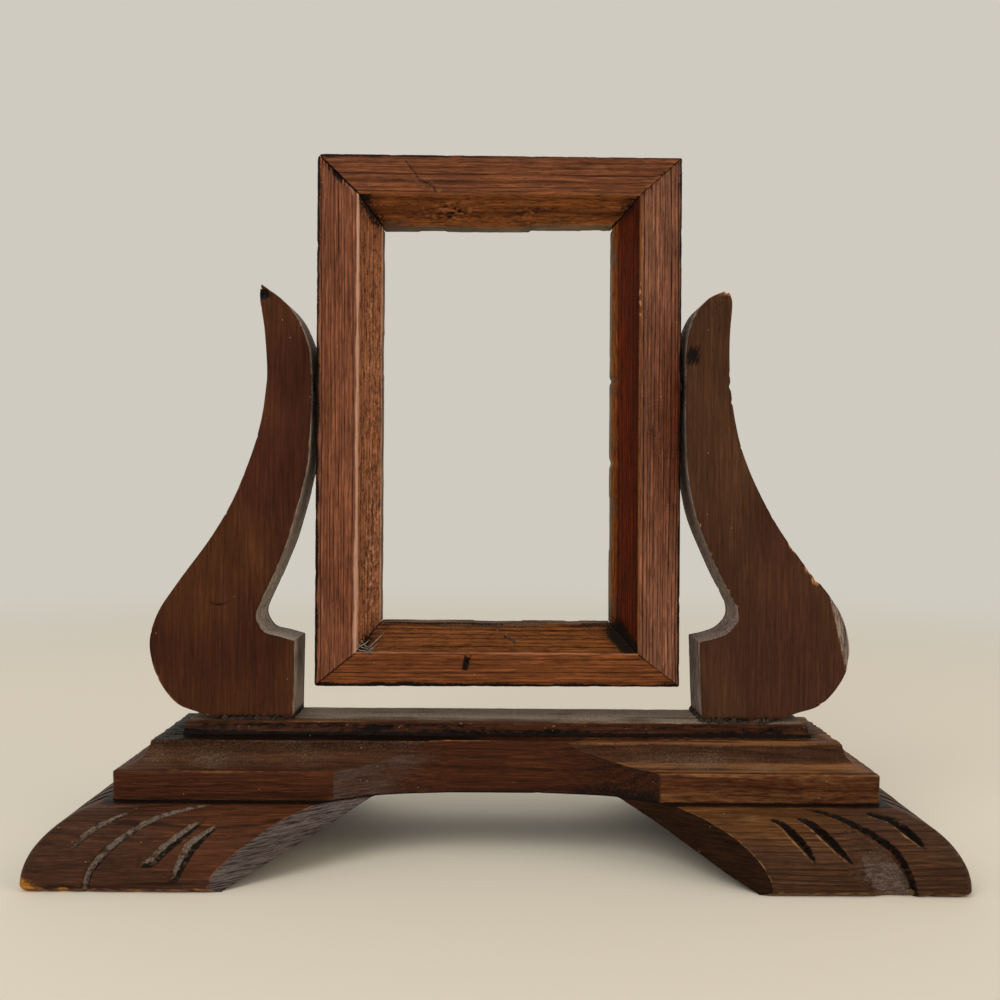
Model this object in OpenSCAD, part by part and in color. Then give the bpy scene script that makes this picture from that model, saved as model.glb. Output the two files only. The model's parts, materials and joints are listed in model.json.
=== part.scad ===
// Tabletop swing mirror stand with an empty mitred frame, in millimetres.
// The origin is on the floor under the middle of the stand. The front faces -Y and +Z is up.

/* [Mirror frame] */
// Width of the frame over its outer edges
frame_w = 161; // [130:1:200]
// Height of the frame over its outer edges
frame_h = 235; // [190:1:290]
// Thickness of the frame, front to back
frame_t = 25; // [20:0.5:30]
// How far the frame's face is set back from the uprights' front
frame_setback = 2; // [0:0.1:5]
// Width of a member's flat face
face_w = 17.5; // [14:0.5:22]
// Width of the bevel, from the face in to the lip
bevel_w = 11.2; // [8:0.1:15]
// How far the bevel falls back from the face
bevel_drop = 10.4; // [4:0.1:12]
// Width of the rebate behind the lip
rebate_w = 6; // [3:0.1:8]
// Depth of the rebate that holds the glass, from the back
rebate_d = 4.6; // [3:0.1:6]

/* [Uprights] */
// Thickness of an upright, front to back
upright_t = 25; // [18:0.5:32]
// Height of the square block at an upright's inner foot
block_h = 34; // [28:0.5:41]
// Width of the block at the floor of the notch above it
block_w = 16.7; // [13:0.1:20]
// Reach of the belly, out from the swing gap
belly_reach = 71.2; // [59:0.1:86]
// Width of an upright at the pivot
waist_w = 20; // [16:0.1:24]
// Rise of the tip above the pivot
tip_rise = 42.5; // [38:0.5:51]

/* [Base] */
// How far the plate runs past the frame at each end
plate_past_frame = 78.5; // [70:0.5:95]
// Flat left in front of and behind an upright
top_margin = 1.5; // [0.5:0.1:6]
// Height of the plate's vertical edge
fillet_h = 10.5; // [8:0.1:13]
// Radius of the hollow above the edge
hollow_r = 9; // [6:0.1:11]
// Width of the ledge between the hollow and the raised top
ledge_w = 10.3; // [6:0.1:14]
// Height of the raised top above the ledge
riser_h = 5.7; // [3:0.1:8]
// Depth of the recess that is sawn into the front
recess_d = 13.3; // [10:0.1:16]
// Height of the feet
foot_h = 28; // [23:0.5:34]
// How far the feet's round noses reach past the plate
foot_flare = 26.6; // [22:0.1:32]
// Depth of the carved gouges
gouge_depth = 1.9; // [0.8:0.1:2.4]

/* [Swing] */
// Gap between the plate and the frame at rest
floor_gap = 14; // [8:0.5:20]
// Gap between the frame and an upright at the pivot
swing_gap = 1.6; // [0.8:0.1:3]
// Height of the pivots above the frame's middle
pivot_rise = 16.5; // [5:0.5:30]
// Diameter of a pivot screw's plain shank
pivot_d = 4.4; // [3:0.1:6]
// Length of the shank inside the frame's stile
pivot_reach = 17; // [10:0.5:20]
// Radial running clearance of the shank in the stile
running_gap = 0.05; // [0.02:0.01:0.1]

/* [Fasteners] */
// Shank diameter of the wood screws
screw_d = 4; // [3:0.1:5]
// Head diameter of the wood screws
screw_head_d = 8; // [6.5:0.1:9]
// Length of the upright screws inside the upright
upright_bite = 24; // [15:0.5:27]
// Length of the foot screws inside the plate
foot_bite = 18; // [10:0.5:19]
// Wire diameter of the mitre brads
brad_d = 1.6; // [1.2:0.1:2]
// Length of the mitre brads
brad_l = 32; // [25:0.5:38]

/* [Hidden] */
$fn = 64;

// Overshoot that carries a cut past the faces it opens
past = 1;
// Height of the arris that rounds the plate's vertical edge, and the flat behind it
arris_r = 2;
arris_flat = 1;
// Nosing over the hollow, and the lean of the riser
nosing_h = 0.8;
riser_lean = 1.7;

// Plate, built up from its moulding
moulding_w = arris_r + arris_flat + hollow_r + ledge_w + riser_lean;
ledge_z = fillet_h + arris_r + hollow_r + nosing_h;
plate_t = ledge_z + riser_h;
plate_d = upright_t + 2 * top_margin + 2 * moulding_w;
plate_half = frame_w / 2 + plate_past_frame;
plate_top = foot_h + plate_t;

// Frame and pivots, stacked on the plate
member_w = face_w + bevel_w;
frame_z = plate_top + floor_gap;
frame_mid = frame_z + frame_h / 2;
frame_front = -upright_t / 2 + frame_setback;
frame_back = frame_front + frame_t;
pivot_z = frame_mid + pivot_rise;
inner_x = frame_w / 2 + swing_gap;

// Round nose of the feet: radius and height of its centre
nose_r = foot_flare;
nose_z = foot_h - nose_r;

// Undercut of a foot, inboard of the plate's end: its top, its run and its heel
undercut_top = 108;
undercut_run = 43;
heel_h = 4;
heel_run = 8.5;

// Recess edge as knots: inboard of the plate's end, and forward of the plate's edge
recess_knots = [[139, -recess_d], [111, -9.2], [91, 0], [73, 13.5], [55, 25], [43, 30]];

// Upright edges as knots: out from the swing gap, and up from the plate or from the pivot
block_side = 7.9;
block_lean = 1.7;
inner_low = [[block_side - block_lean, block_h],
             [block_side + block_w - 6.7, block_h + 3],
             [block_side + block_w - 1.7, block_h + 7.5],
             [block_side + block_w - 2, block_h + 12],
             [18.4, 56], [11.9, 70.5], [6.4, 82]];
inner_high = [[1.3, -36], [0.1, -12], [0, 0], [0.8, 13], [2.8, 20], [6.9, 29],
              [waist_w - 7.1, tip_rise - 6.5], [waist_w + 1.4, tip_rise]];
outer_high = [[waist_w + 3.4, tip_rise - 5], [waist_w + 0.9, 23], [waist_w - 0.4, 6],
              [waist_w, -2], [waist_w + 2.5, -19.5], [waist_w + 6.4, -34]];
outer_low = [[belly_reach - 27.6, 79.5], [belly_reach - 11.7, 58.3], [belly_reach - 3.8, 46.5],
             [belly_reach, 34], [belly_reach - 1.8, 22.5], [belly_reach - 6.6, 12.6],
             [belly_reach - 15.3, 5.8], [belly_reach - 24.3, 2.5], [block_side + 28, 0]];

// Gouges on a foot's nose, each a chord between two points: inboard of the plate's end,
// and the angle round the nose. The first ones are repeated round the corner on the end.
gouges = [[[10, 70], [-8, 32]], [[36, 76], [12, 50]], [[17, 57], [0, 18]],
          [[40, 62], [21, 22]], [[50, 62], [35, 20]]];
end_gouges = 3;
gouge_r = 3;

// Wood screws: head height, slot, and the counterbore under the feet
screw_head_h = 3;
slot_w = 1;
slot_h = 1;
counterbore = 8;
counterbore_d = screw_head_d + 1;
upright_screw_l = plate_t + upright_bite;
foot_screw_l = foot_h - counterbore + foot_bite;
upright_screws_x = [inner_x + block_side + 7, inner_x + block_side + 21];
foot_screws_y = [-22, 22];
foot_screws_x = plate_half - 29;

// Pivot screws: head, its seat in the upright's edge, and the room past the shank's end
pivot_head_d = 8;
pivot_head_h = 2.4;
pivot_seat = 3;
pivot_end_gap = 1;
pivot_seat_x = inner_x + waist_w - pivot_seat;
pivot_tip_x = frame_w / 2 - pivot_reach;

// Mitre brads: distance in from the corner, head, and offset front or back
brad_in = 9;
brad_head_d = 2.6;
brad_head_h = 0.8;
brad_y = 3.5;

// Bent brad: place along the rail, up the bevel, wire, sunk length and laid length
bent_x = 3.6;
bent_up = 5;
bent_d = 1.1;
bent_sunk = 4;
bent_laid = 7.5;
bent_turn = 50;

frame_colour = [0.36, 0.18, 0.11];
upright_colour = [0.21, 0.11, 0.07];
base_colour = [0.20, 0.12, 0.08];
steel_colour = [0.45, 0.43, 0.40];

// A smooth edge through knots, with the same number of steps in each span
function knot(k, i) = k[max(0, min(len(k) - 1, i))];
function span_point(a, b, c, d, t) =
    0.5 * ((2 * b) + (c - a) * t + (2 * a - 5 * b + 4 * c - d) * t * t
           + (3 * b - a - 3 * c + d) * t * t * t);
function smooth_edge(k, steps = 4) = concat(
    [for (i = [0 : len(k) - 2], s = [0 : steps - 1])
        span_point(knot(k, i - 1), k[i], k[i + 1], knot(k, i + 2), s / steps)],
    [k[len(k) - 1]]);

// Stretches a 2D outline, drawn across and up, along the stand's X or Y
module along_x(length) {
    rotate([90, 0, 90]) linear_extrude(length, center = true) children();
}
module along_y(length) {
    rotate([90, 0, 0]) linear_extrude(length, center = true) children();
}

// Section of the plate's moulding, for one half width
module moulding_2d(half) {
    hollow_w = arris_r + arris_flat;
    translate([-half, 0]) square([2 * half, fillet_h]);
    translate([-half + arris_r, 0]) square([2 * (half - arris_r), fillet_h + arris_r]);
    for (side = [-1, 1]) translate([side * (half - arris_r), fillet_h]) circle(arris_r);
    difference() {
        translate([-half + hollow_w, 0]) square([2 * (half - hollow_w), ledge_z]);
        for (side = [-1, 1])
            translate([side * (half - hollow_w), ledge_z - nosing_h]) circle(hollow_r);
    }
    step = half - moulding_w;
    polygon([[-step - riser_lean, 0], [step + riser_lean, 0], [step + riser_lean, ledge_z],
             [step, plate_t], [-step, plate_t], [-step - riser_lean, ledge_z]]);
}

// Section of a foot's round nose, for one half width
module nose_2d(half) {
    translate([-half, 0]) square([2 * half, foot_h]);
    translate([-half - nose_r, 0]) square([2 * (half + nose_r), max(0.01, nose_z)]);
    intersection() {
        translate([-half - nose_r, 0]) square([2 * (half + nose_r), foot_h]);
        for (side = [-1, 1]) translate([side * half, nose_z]) circle(nose_r);
    }
}

// Everything in front of the sawn recess, as seen from above
module recess_2d() {
    far = plate_d / 2 + nose_r + past;
    edge = smooth_edge([for (k = recess_knots) [plate_half - k[0], -plate_d / 2 - k[1]]]);
    last = edge[len(edge) - 1];
    for (side = [0, 1]) mirror([side, 0])
        polygon(concat([[-past, -plate_d / 2 + recess_d]], edge,
                       [[last[0], min(last[1], -far)], [-past, -far]]));
}

module recess_cut() {
    translate([0, 0, -past]) linear_extrude(plate_top + 2 * past) recess_2d();
}

// A slotted countersunk wood screw, its head's face at z = 0 and its point up
module screw_body(length) {
    cylinder(h = screw_head_h, d1 = screw_head_d, d2 = screw_d);
    cylinder(h = length - screw_d, d = screw_d);
    translate([0, 0, length - screw_d]) cylinder(h = screw_d, d1 = screw_d, d2 = screw_d / 4);
}

module wood_screw(length) {
    difference() {
        screw_body(length);
        translate([-screw_head_d, -slot_w / 2, -past])
            cube([2 * screw_head_d, slot_w, slot_h + past]);
    }
}

// Wood screws of one side, or their holes
module upright_screw_places() {
    for (x = upright_screws_x) translate([x, 0, foot_h]) children();
}

module foot_screw_places() {
    for (y = foot_screws_y) translate([foot_screws_x, y, counterbore]) children();
}

// Mitred base plate with a moulding on all four sides and a sawn front
module base_plate() {
    color(base_colour) difference() {
        translate([0, 0, foot_h]) intersection() {
            along_x(2 * plate_half) moulding_2d(plate_d / 2);
            along_y(plate_d) moulding_2d(plate_half);
        }
        recess_cut();
        for (side = [0, 1]) mirror([side, 0, 0]) {
            upright_screw_places() screw_body(upright_screw_l);
            foot_screw_places() screw_body(foot_screw_l);
        }
    }
}

// One straight gouge cut into the front nose between two points of it
module gouge(ends) {
    function nose_point(p) = [plate_half - p[0], -plate_d / 2 - nose_r * cos(p[1]),
                              nose_z + nose_r * sin(p[1])];
    run = nose_point(ends[1]) - nose_point(ends[0]);
    middle = (ends[0] + ends[1]) / 2;
    out = [0, -cos(middle[1]), sin(middle[1])];
    translate(nose_point(middle) + out * (gouge_r - gouge_depth))
        rotate([0, acos(run[2] / norm(run)), atan2(run[1], run[0])])
            cylinder(h = 1.6 * norm(run), r = gouge_r, center = true);
}

// Carved bracket foot of the right side
module foot() {
    inner = plate_half - undercut_top;
    difference() {
        intersection() {
            along_x(2 * (plate_half + nose_r)) nose_2d(plate_d / 2);
            along_y(2 * (plate_half + nose_r)) nose_2d(plate_half);
        }
        along_y(plate_d + 2 * nose_r + 2 * past)
            polygon([[-plate_half - nose_r - past, -past], [inner + undercut_run + heel_run, -past],
                     [inner + undercut_run + heel_run, 0], [inner + undercut_run, heel_h],
                     [inner, foot_h], [inner, foot_h + past],
                     [-plate_half - nose_r - past, foot_h + past]]);
        recess_cut();
        for (g = gouges) gouge(g);
        for (i = [0 : end_gouges - 1])
            translate([plate_half, -plate_d / 2, 0]) mirror([1, 1, 0])
                translate([-plate_half, plate_d / 2, 0]) gouge(gouges[i]);
        foot_screw_places() {
            screw_body(foot_screw_l);
            translate([0, 0, -counterbore - past])
                cylinder(h = counterbore + past, d = counterbore_d);
        }
    }
}

module right_foot() color(base_colour) foot();
module left_foot() mirror([1, 0, 0]) right_foot();

// Outline of the right upright, across and up
module upright_2d() {
    function low(k) = [inner_x + k[0], plate_top + k[1]];
    function high(k) = [inner_x + k[0], pivot_z + k[1]];
    inner = concat([for (k = inner_low) low(k)], [for (k = inner_high) high(k)]);
    outer = concat([for (k = outer_high) high(k)], [for (k = outer_low) low(k)]);
    polygon(concat([[inner_x + block_side, plate_top]], smooth_edge(inner), smooth_edge(outer)));
}

// Pivot screw of the right side: a slotted domed head outside and a plain shank inward
module pivot_screw() {
    dome_r = (pow(pivot_head_d / 2, 2) + pow(pivot_head_h, 2)) / (2 * pivot_head_h);
    translate([pivot_seat_x, 0, pivot_z]) rotate([0, 90, 0]) difference() {
        union() {
            translate([0, 0, pivot_tip_x - pivot_seat_x])
                cylinder(h = pivot_seat_x - pivot_tip_x, d = pivot_d);
            intersection() {
                cylinder(h = pivot_head_h, d = pivot_head_d);
                translate([0, 0, pivot_head_h - dome_r]) sphere(dome_r);
            }
        }
        translate([-slot_w / 2, -pivot_head_d, pivot_head_h - slot_h])
            cube([slot_w, 2 * pivot_head_d, slot_h + past]);
    }
}

// S-scroll upright of the right side
module upright() {
    difference() {
        along_y(upright_t) upright_2d();
        upright_screw_places() screw_body(upright_screw_l);
        translate([inner_x - past, 0, pivot_z]) rotate([0, 90, 0])
            cylinder(h = waist_w, d = pivot_d);
        translate([pivot_seat_x, 0, pivot_z]) rotate([0, 90, 0])
            cylinder(h = waist_w, d = pivot_head_d + 1);
    }
}

module right_upright() color(upright_colour) upright();
module left_upright() mirror([1, 0, 0]) right_upright();

module right_pivot_screw() color(steel_colour) pivot_screw();
module left_pivot_screw() mirror([1, 0, 0]) right_pivot_screw();

module right_upright_screws() {
    color(steel_colour) upright_screw_places() wood_screw(upright_screw_l);
}
module left_upright_screws() mirror([1, 0, 0]) right_upright_screws();

module right_foot_screws() {
    color(steel_colour) foot_screw_places() wood_screw(foot_screw_l);
}
module left_foot_screws() mirror([1, 0, 0]) right_foot_screws();

// A frame member: flat face, bevel, lip and rebate, mitred at both ends.
// Its outer edge lies along X at z = 0 and its lip is up.
module member(length) {
    shoulder = frame_back - rebate_d;
    intersection() {
        along_x(length)
            polygon([[frame_front, 0], [frame_back, 0], [frame_back, member_w - rebate_w],
                     [shoulder, member_w - rebate_w], [shoulder, member_w],
                     [frame_front + bevel_drop, member_w], [frame_front, face_w]]);
        along_y(upright_t + 2 * frame_t)
            polygon([[-length / 2, 0], [length / 2, 0], [length / 2 - member_w, member_w],
                     [-length / 2 + member_w, member_w]]);
    }
}

// A mitre brad along X with its head's face at x = 0
module brad() {
    rotate([0, 90, 0]) {
        cylinder(h = brad_head_h, d = brad_head_d);
        cylinder(h = brad_l - brad_d, d = brad_d);
        translate([0, 0, brad_l - brad_d]) cylinder(h = brad_d, d1 = brad_d, d2 = brad_d / 4);
    }
}

// The two brads of the frame's lower left corner, repeated at the other three
module corner_brads() {
    for (side = [0, 1], end = [0, 1])
        translate([0, (frame_front + frame_back) / 2, frame_mid])
            mirror([side, 0, 0]) mirror([0, 0, end]) {
                translate([-frame_w / 2, -brad_y, -frame_h / 2 + brad_in]) brad();
                translate([-frame_w / 2 + brad_in, brad_y, -frame_h / 2])
                    rotate([0, -90, 0]) brad();
            }
}

// Bent brad: sunk square into the bottom rail's bevel, then laid along it
module bent_brad_solid() {
    slope = atan2(bevel_drop, bevel_w);
    translate([bent_x, frame_front + bent_up * bevel_drop / bevel_w, frame_z + face_w + bent_up])
        rotate([-slope, 0, 0]) {
            lift = bent_d / 2;
            rotate([-90, 0, 0]) translate([0, 0, -lift]) cylinder(h = bent_sunk + lift, d = bent_d);
            translate([0, -lift, 0]) sphere(d = bent_d);
            translate([0, -lift, 0]) rotate([0, 180 - bent_turn, 0])
                cylinder(h = bent_laid, d = bent_d);
        }
}

module bottom_rail() {
    color(frame_colour) difference() {
        translate([0, 0, frame_z]) member(frame_w);
        corner_brads();
        bent_brad_solid();
    }
}

module top_rail() {
    color(frame_colour) difference() {
        translate([0, 0, frame_z + frame_h]) mirror([0, 0, 1]) member(frame_w);
        corner_brads();
    }
}

// Stile of the right side, with the bore that the pivot screw runs in
module stile() {
    difference() {
        translate([frame_w / 2, 0, frame_mid]) rotate([0, -90, 0]) member(frame_h);
        corner_brads();
        translate([pivot_tip_x - pivot_end_gap, 0, pivot_z]) rotate([0, 90, 0])
            cylinder(h = pivot_reach + pivot_end_gap + past, r = pivot_d / 2 + running_gap);
    }
}

module right_stile() color(frame_colour) stile();
module left_stile() mirror([1, 0, 0]) right_stile();

module mitre_brads() color(steel_colour) corner_brads();
module bent_brad() color(steel_colour) bent_brad_solid();

base_plate();
left_foot();
right_foot();
left_upright();
right_upright();
left_pivot_screw();
right_pivot_screw();
left_upright_screws();
right_upright_screws();
left_foot_screws();
right_foot_screws();
top_rail();
bottom_rail();
left_stile();
right_stile();
mitre_brads();
bent_brad();
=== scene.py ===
# %% [markdown]
# # A swing mirror stand with its glass gone
#
# The object is a small dressing-table stand of stained softwood. An empty mitred frame tilts between
# two S-scroll uprights, which are glued to a moulded plate on two carved bracket feet. It is old: the
# stain is rubbed off the arrises, dust lies in the gouges, and the corners are dark. Some light and shade
# is painted into the colours as well: shadows in the gouges, under the plate's nosing and beside the
# uprights, lighter and darker bevels, and highlights on rims and fibres.
#
# The imported model gives every size and place, and this script only makes the finish. The wooden pieces
# are made again as dense meshes, because wear, chips and carving are shapes, and a shape that is only
# painted looks flat as soon as the camera moves.

import json
import math
from functools import partial

import bmesh
import bpy
import numpy as np
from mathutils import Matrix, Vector, noise
from mathutils.kdtree import KDTree


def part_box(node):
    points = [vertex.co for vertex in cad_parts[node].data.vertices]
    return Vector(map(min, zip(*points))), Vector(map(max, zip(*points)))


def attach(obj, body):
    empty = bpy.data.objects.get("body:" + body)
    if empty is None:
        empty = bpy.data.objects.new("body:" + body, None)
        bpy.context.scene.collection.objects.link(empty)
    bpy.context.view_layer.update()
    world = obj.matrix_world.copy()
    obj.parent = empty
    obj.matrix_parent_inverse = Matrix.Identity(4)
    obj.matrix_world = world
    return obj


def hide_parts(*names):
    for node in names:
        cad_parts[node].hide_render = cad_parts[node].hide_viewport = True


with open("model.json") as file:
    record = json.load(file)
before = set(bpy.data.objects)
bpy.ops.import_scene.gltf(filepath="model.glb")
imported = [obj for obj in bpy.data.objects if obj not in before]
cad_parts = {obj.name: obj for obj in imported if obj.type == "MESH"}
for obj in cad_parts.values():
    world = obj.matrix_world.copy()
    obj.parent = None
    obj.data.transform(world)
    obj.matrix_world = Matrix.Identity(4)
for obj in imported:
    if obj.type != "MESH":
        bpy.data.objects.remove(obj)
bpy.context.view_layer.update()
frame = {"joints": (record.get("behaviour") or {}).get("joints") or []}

# %% [markdown]
# ## Sizes
#
# A maker works in millimetres and Blender in metres, so shapes here are drawn in millimetres and turned
# into metres when a mesh is made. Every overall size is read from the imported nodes. Only what those
# nodes can't say, such as how wide each worn face is today, is written as a number.

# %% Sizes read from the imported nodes
MM = 0.001


def box_mm(node):
    """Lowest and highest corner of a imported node, in mm."""
    return [np.array(corner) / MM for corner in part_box(node)]


plate_low, plate_high = box_mm("base_plate")
foot_high = box_mm("right_foot")[1]
upright_low, upright_high = box_mm("right_upright")
rail_low, rail_high = box_mm("top_rail")
stile_low, stile_high = box_mm("right_stile")

plate_half = plate_high[0]
plate_front = plate_low[1]
plate_bottom, plate_top = plate_low[2], plate_high[2]
nose_r = foot_high[0] - plate_half
frame_half = rail_high[0]
frame_bottom, frame_top = stile_low[2], stile_high[2]
frame_face, frame_back = rail_low[1], rail_high[1]
frame_t = frame_back - frame_face
member_w = rail_high[2] - rail_low[2]
pivot_z = frame["joints"][0]["pos_m"][2] / MM
swing_x = upright_low[0]
upright_half = upright_high[1]
print("frame", 2 * frame_half, "x", frame_top - frame_bottom, "mm, pivots at", pivot_z, "mm")

# %% [markdown]
# ## Curves
#
# The scroll of the uprights and the sawn recess are free curves. A spline through a few points that
# a maker would mark on the board is enough for them, so each curve is a short list of knots. Meshes
# need evenly spaced points, so the spline is walked and measured out again by length.

# %% Smooth curves through marked points
def through(knots, steps=24):
    """Points of a smooth curve that passes through all the knots."""
    knots = np.array(knots, float)
    padded = np.vstack([knots[0], knots, knots[-1]])
    t = np.linspace(0, 1, steps, endpoint=False)[:, None]
    spans = []
    for a, b, c, d in zip(padded, padded[1:], padded[2:], padded[3:]):
        spans.append(0.5 * (2 * b + (c - a) * t + (2 * a - 5 * b + 4 * c - d) * t ** 2
                            + (3 * b - a - 3 * c + d) * t ** 3))
    return np.vstack(spans + [knots[-1:]])


def spaced(points, count):
    """The same line with count points, evenly spaced along it."""
    steps = np.linalg.norm(np.diff(points, axis=0), axis=1)
    reach = np.concatenate([[0], np.cumsum(steps)])
    wanted = np.linspace(0, reach[-1], count)
    return np.stack([np.interp(wanted, reach, points[:, k]) for k in range(points.shape[1])], axis=1)


def clamp(values, most=1):
    """Values held between 0 and most."""
    return np.clip(values, 0, most)


def ramp(values, low, high):
    """0 below low, 1 above high, and smooth between."""
    t = clamp((values - low) / (high - low))
    return t * t * (3 - 2 * t)


def fall(values, low, high):
    """1 below low, 0 above high, and smooth between."""
    return 1 - ramp(values, low, high)


def bump(values, middle, half_width):
    """1 at the middle, falling to nothing over about twice the half width."""
    return np.exp(-((values - middle) / half_width) ** 2)


# %% [markdown]
# ## Unevenness
#
# Hand work and a century of knocks are irregular but not random from point to point. Smooth noise gives
# that, and one function reads it at any points. The size of its lumps can differ along each axis,
# because wood breaks and wears in long streaks along the grain. A fixed seed moves the pattern.

# %% Smooth noise at points
def lumps(points, size, seed):
    """Noise from about -1 to 1 at points in mm, with lumps of about that size along x, y and z."""
    scaled = points.reshape(-1, 3) / np.array(size, float) + 31.7 * seed
    values = np.array([noise.noise(p) for p in scaled.tolist()])
    return 1.6 * values.reshape(points.shape[:-1])


def lumps_at(points, seed):
    """A function that gives lumps of a size at these points, with a number for each pattern."""
    return lambda size, number=0: lumps(points, size, seed + number)


# %% [markdown]
# ## A skin from rings
#
# Each board here can be described as a stack of closed rings of points: the section of a rail carried
# along its length, or the plan of the plate carried up its moulding. One function joins such rings into
# a closed mesh. It also stores one number per point for each mask, such as how worn the wood is there,
# which the materials read later as an attribute. Where rings shrink to a line, points that meet are
# merged, and then the faces are turned outwards.

# %% Rings of points to a closed mesh
MERGE = 0.004
CREASE = math.radians(42)


def skin(name, rings, masks):
    """A closed piece from rings[level, around, xyz] in mm, with one value per point in each mask."""
    levels, around = rings.shape[:2]
    level, spot = np.meshgrid(np.arange(levels - 1), np.arange(around), indexing="ij")
    here = level * around + spot
    beside = level * around + (spot + 1) % around
    quads = np.stack([here, beside, beside + around, here + around], axis=-1).reshape(-1, 4)
    caps = [list(range(around)), list(range((levels - 1) * around, levels * around))]
    mesh = bpy.data.meshes.new(name)
    mesh.from_pydata((rings.reshape(-1, 3) * MM).tolist(), [], quads.tolist() + caps)
    for mask, values in masks.items():
        layer = mesh.attributes.new(mask, "FLOAT", "POINT")
        layer.data.foreach_set("value", clamp(values).ravel().astype(np.float32))
    work = bmesh.new()
    work.from_mesh(mesh)
    bmesh.ops.remove_doubles(work, verts=work.verts, dist=MERGE * MM)
    bmesh.ops.dissolve_degenerate(work, edges=work.edges, dist=MERGE * MM)
    caps = [face for face in work.faces if len(face.verts) > 4]
    bmesh.ops.triangulate(work, faces=caps, ngon_method="EAR_CLIP")
    shaded(work, mesh)
    return in_scene(name, mesh)


def shaded(work, mesh):
    """Turns the faces outwards and puts them in the mesh, smooth between sharp arrises."""
    bmesh.ops.recalc_face_normals(work, faces=work.faces)
    for face in work.faces:
        face.smooth = True
    work.to_mesh(mesh)
    work.free()
    mesh.set_sharp_from_angle(angle=CREASE)


def in_scene(name, data):
    """A new object in the scene."""
    made = bpy.data.objects.new(name, data)
    bpy.context.scene.collection.objects.link(made)
    return made


def finished(piece, body, slot, *nodes):
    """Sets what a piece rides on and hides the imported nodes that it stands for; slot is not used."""
    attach(piece, body)
    if nodes:
        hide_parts(*nodes)
    piece.data.calc_loop_triangles()
    print(piece.name, len(piece.data.loop_triangles), "triangles")


# %% [markdown]
# ## Drilled holes
#
# The stiles are bored for the pivot screws, the uprights have a stepped hole for them, and the feet are
# counterbored from below. A boolean with the exact solver cuts them as a drill would. It makes new
# points, so each takes its masks from the nearest old point.

# %% A drill
DRILL_SIDES = 40


def applied(piece, modifier):
    """The plain mesh of a piece with its modifier, which is then removed."""
    graph = bpy.context.evaluated_depsgraph_get()
    made = bpy.data.meshes.new_from_object(piece.evaluated_get(graph))
    piece.modifiers.remove(modifier)
    return made


def drill(piece, holes):
    """Cuts round holes in a piece: (start, end, radius) each, in mm."""
    cutter = bpy.data.meshes.new("drill")
    work = bmesh.new()
    for start, end, radius in holes:
        start, end = Vector(start) * MM, Vector(end) * MM
        turn = (end - start).to_track_quat("Z", "Y").to_matrix().to_4x4()
        turn.translation = (start + end) / 2
        bmesh.ops.create_cone(work, cap_ends=True, segments=DRILL_SIDES, depth=(end - start).length,
                              radius1=radius * MM, radius2=radius * MM, matrix=turn)
    bmesh.ops.recalc_face_normals(work, faces=work.faces)
    work.to_mesh(cutter)
    work.free()
    bit = in_scene("drill", cutter)
    names = [a.name for a in piece.data.attributes if a.data_type == "FLOAT"]
    before = {n: [v.value for v in piece.data.attributes[n].data] for n in names}
    near = KDTree(len(piece.data.vertices))
    for index, vertex in enumerate(piece.data.vertices):
        near.insert(vertex.co, index)
    near.balance()
    cut = piece.modifiers.new("drill", "BOOLEAN")
    cut.operation = "DIFFERENCE"
    cut.solver = "EXACT"
    cut.object = bit
    made = applied(piece, cut)
    bpy.data.objects.remove(bit)
    found = [near.find(v.co)[1] for v in made.vertices]
    for mask in names:
        layer = made.attributes.get(mask) or made.attributes.new(mask, "FLOAT", "POINT")
        layer.data.foreach_set("value", [before[mask][i] for i in found])
    made.set_sharp_from_angle(angle=CREASE)
    piece.data = made


# %% [markdown]
# ## The masks
#
# Every wooden piece carries the same six masks, so one kind of material can serve all of them:
#
# - `worn`: stain rubbed thin, down to a lighter brown, and painted highlights on the rims of
#   the gouges and towards the plate's right end
# - `grime`: black dirt and old polish along outer arrises, darkening in the bevels' corners, and
#   painted shade in the gouges, under the plate's nosing, beside the pivots and on the right stile
# - `tone`: surfaces with the second stain colour, such as the frame's bevels, whose colours also
#   hold painted light and shade, and the painted shadow of the right upright on the right stile
# - `raw`: faces left from the saw, grey with age
# - `bare`: fresh breaks, where pale wood shows
# - `dust`: grey dust that lies in the carving

# %% An empty set of masks
MASKS = ("worn", "grime", "tone", "raw", "bare", "dust")


def blank_masks(shape):
    """Empty masks, and a function that raises one of them where values are higher."""
    masks = {mask: np.zeros(shape) for mask in MASKS}

    def put(mask, values):
        """Raises a mask to these values."""
        masks[mask] = np.maximum(masks[mask], values)

    return masks, put


# %% [markdown]
# ## The frame's members
#
# Two rails and two stiles share one section: a wide flat face, a bevel that falls inwards, a lip, and
# behind it the rebate for the glass. They were planed by hand, so no two are the same width. The section
# is drawn once with its corners rounded, and each member carries it along its length.
#
# The mitres could be cut with a plane after the loft, but members of different widths meet at an angle
# that isn't quite 45 degrees and changes where the bevel starts. Instead each ring point ends where the
# neighbour's same point lies. The faces, bevels and lips then meet all round, whatever the widths.

# %% The section of a frame member
MEMBERS = ("left_stile", "right_stile", "top_rail", "bottom_rail")
# Which way x runs from the middle on each side
hands = {"left": -1, "right": 1}


def each(*values):
    """One value for each member of the frame, by its name."""
    return dict(zip(MEMBERS, values))


# How wide the face is, and how far in the lip lies
frame_widths = each((18.3, 28.0), (18.4, 29.5), (17.7, 29.4), (15.2, 27.4))
bevel_drop = 10.4
rebate_w, rebate_d = 6.0, 4.6
rebate_in = member_w - rebate_w
shoulder = frame_t - rebate_d
side_steps = {"back": 16, "rebate": 4, "shoulder": 5, "lip": 14, "bevel": 30, "face": 36, "edge": 26}
ARC_STEPS = 4


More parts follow.
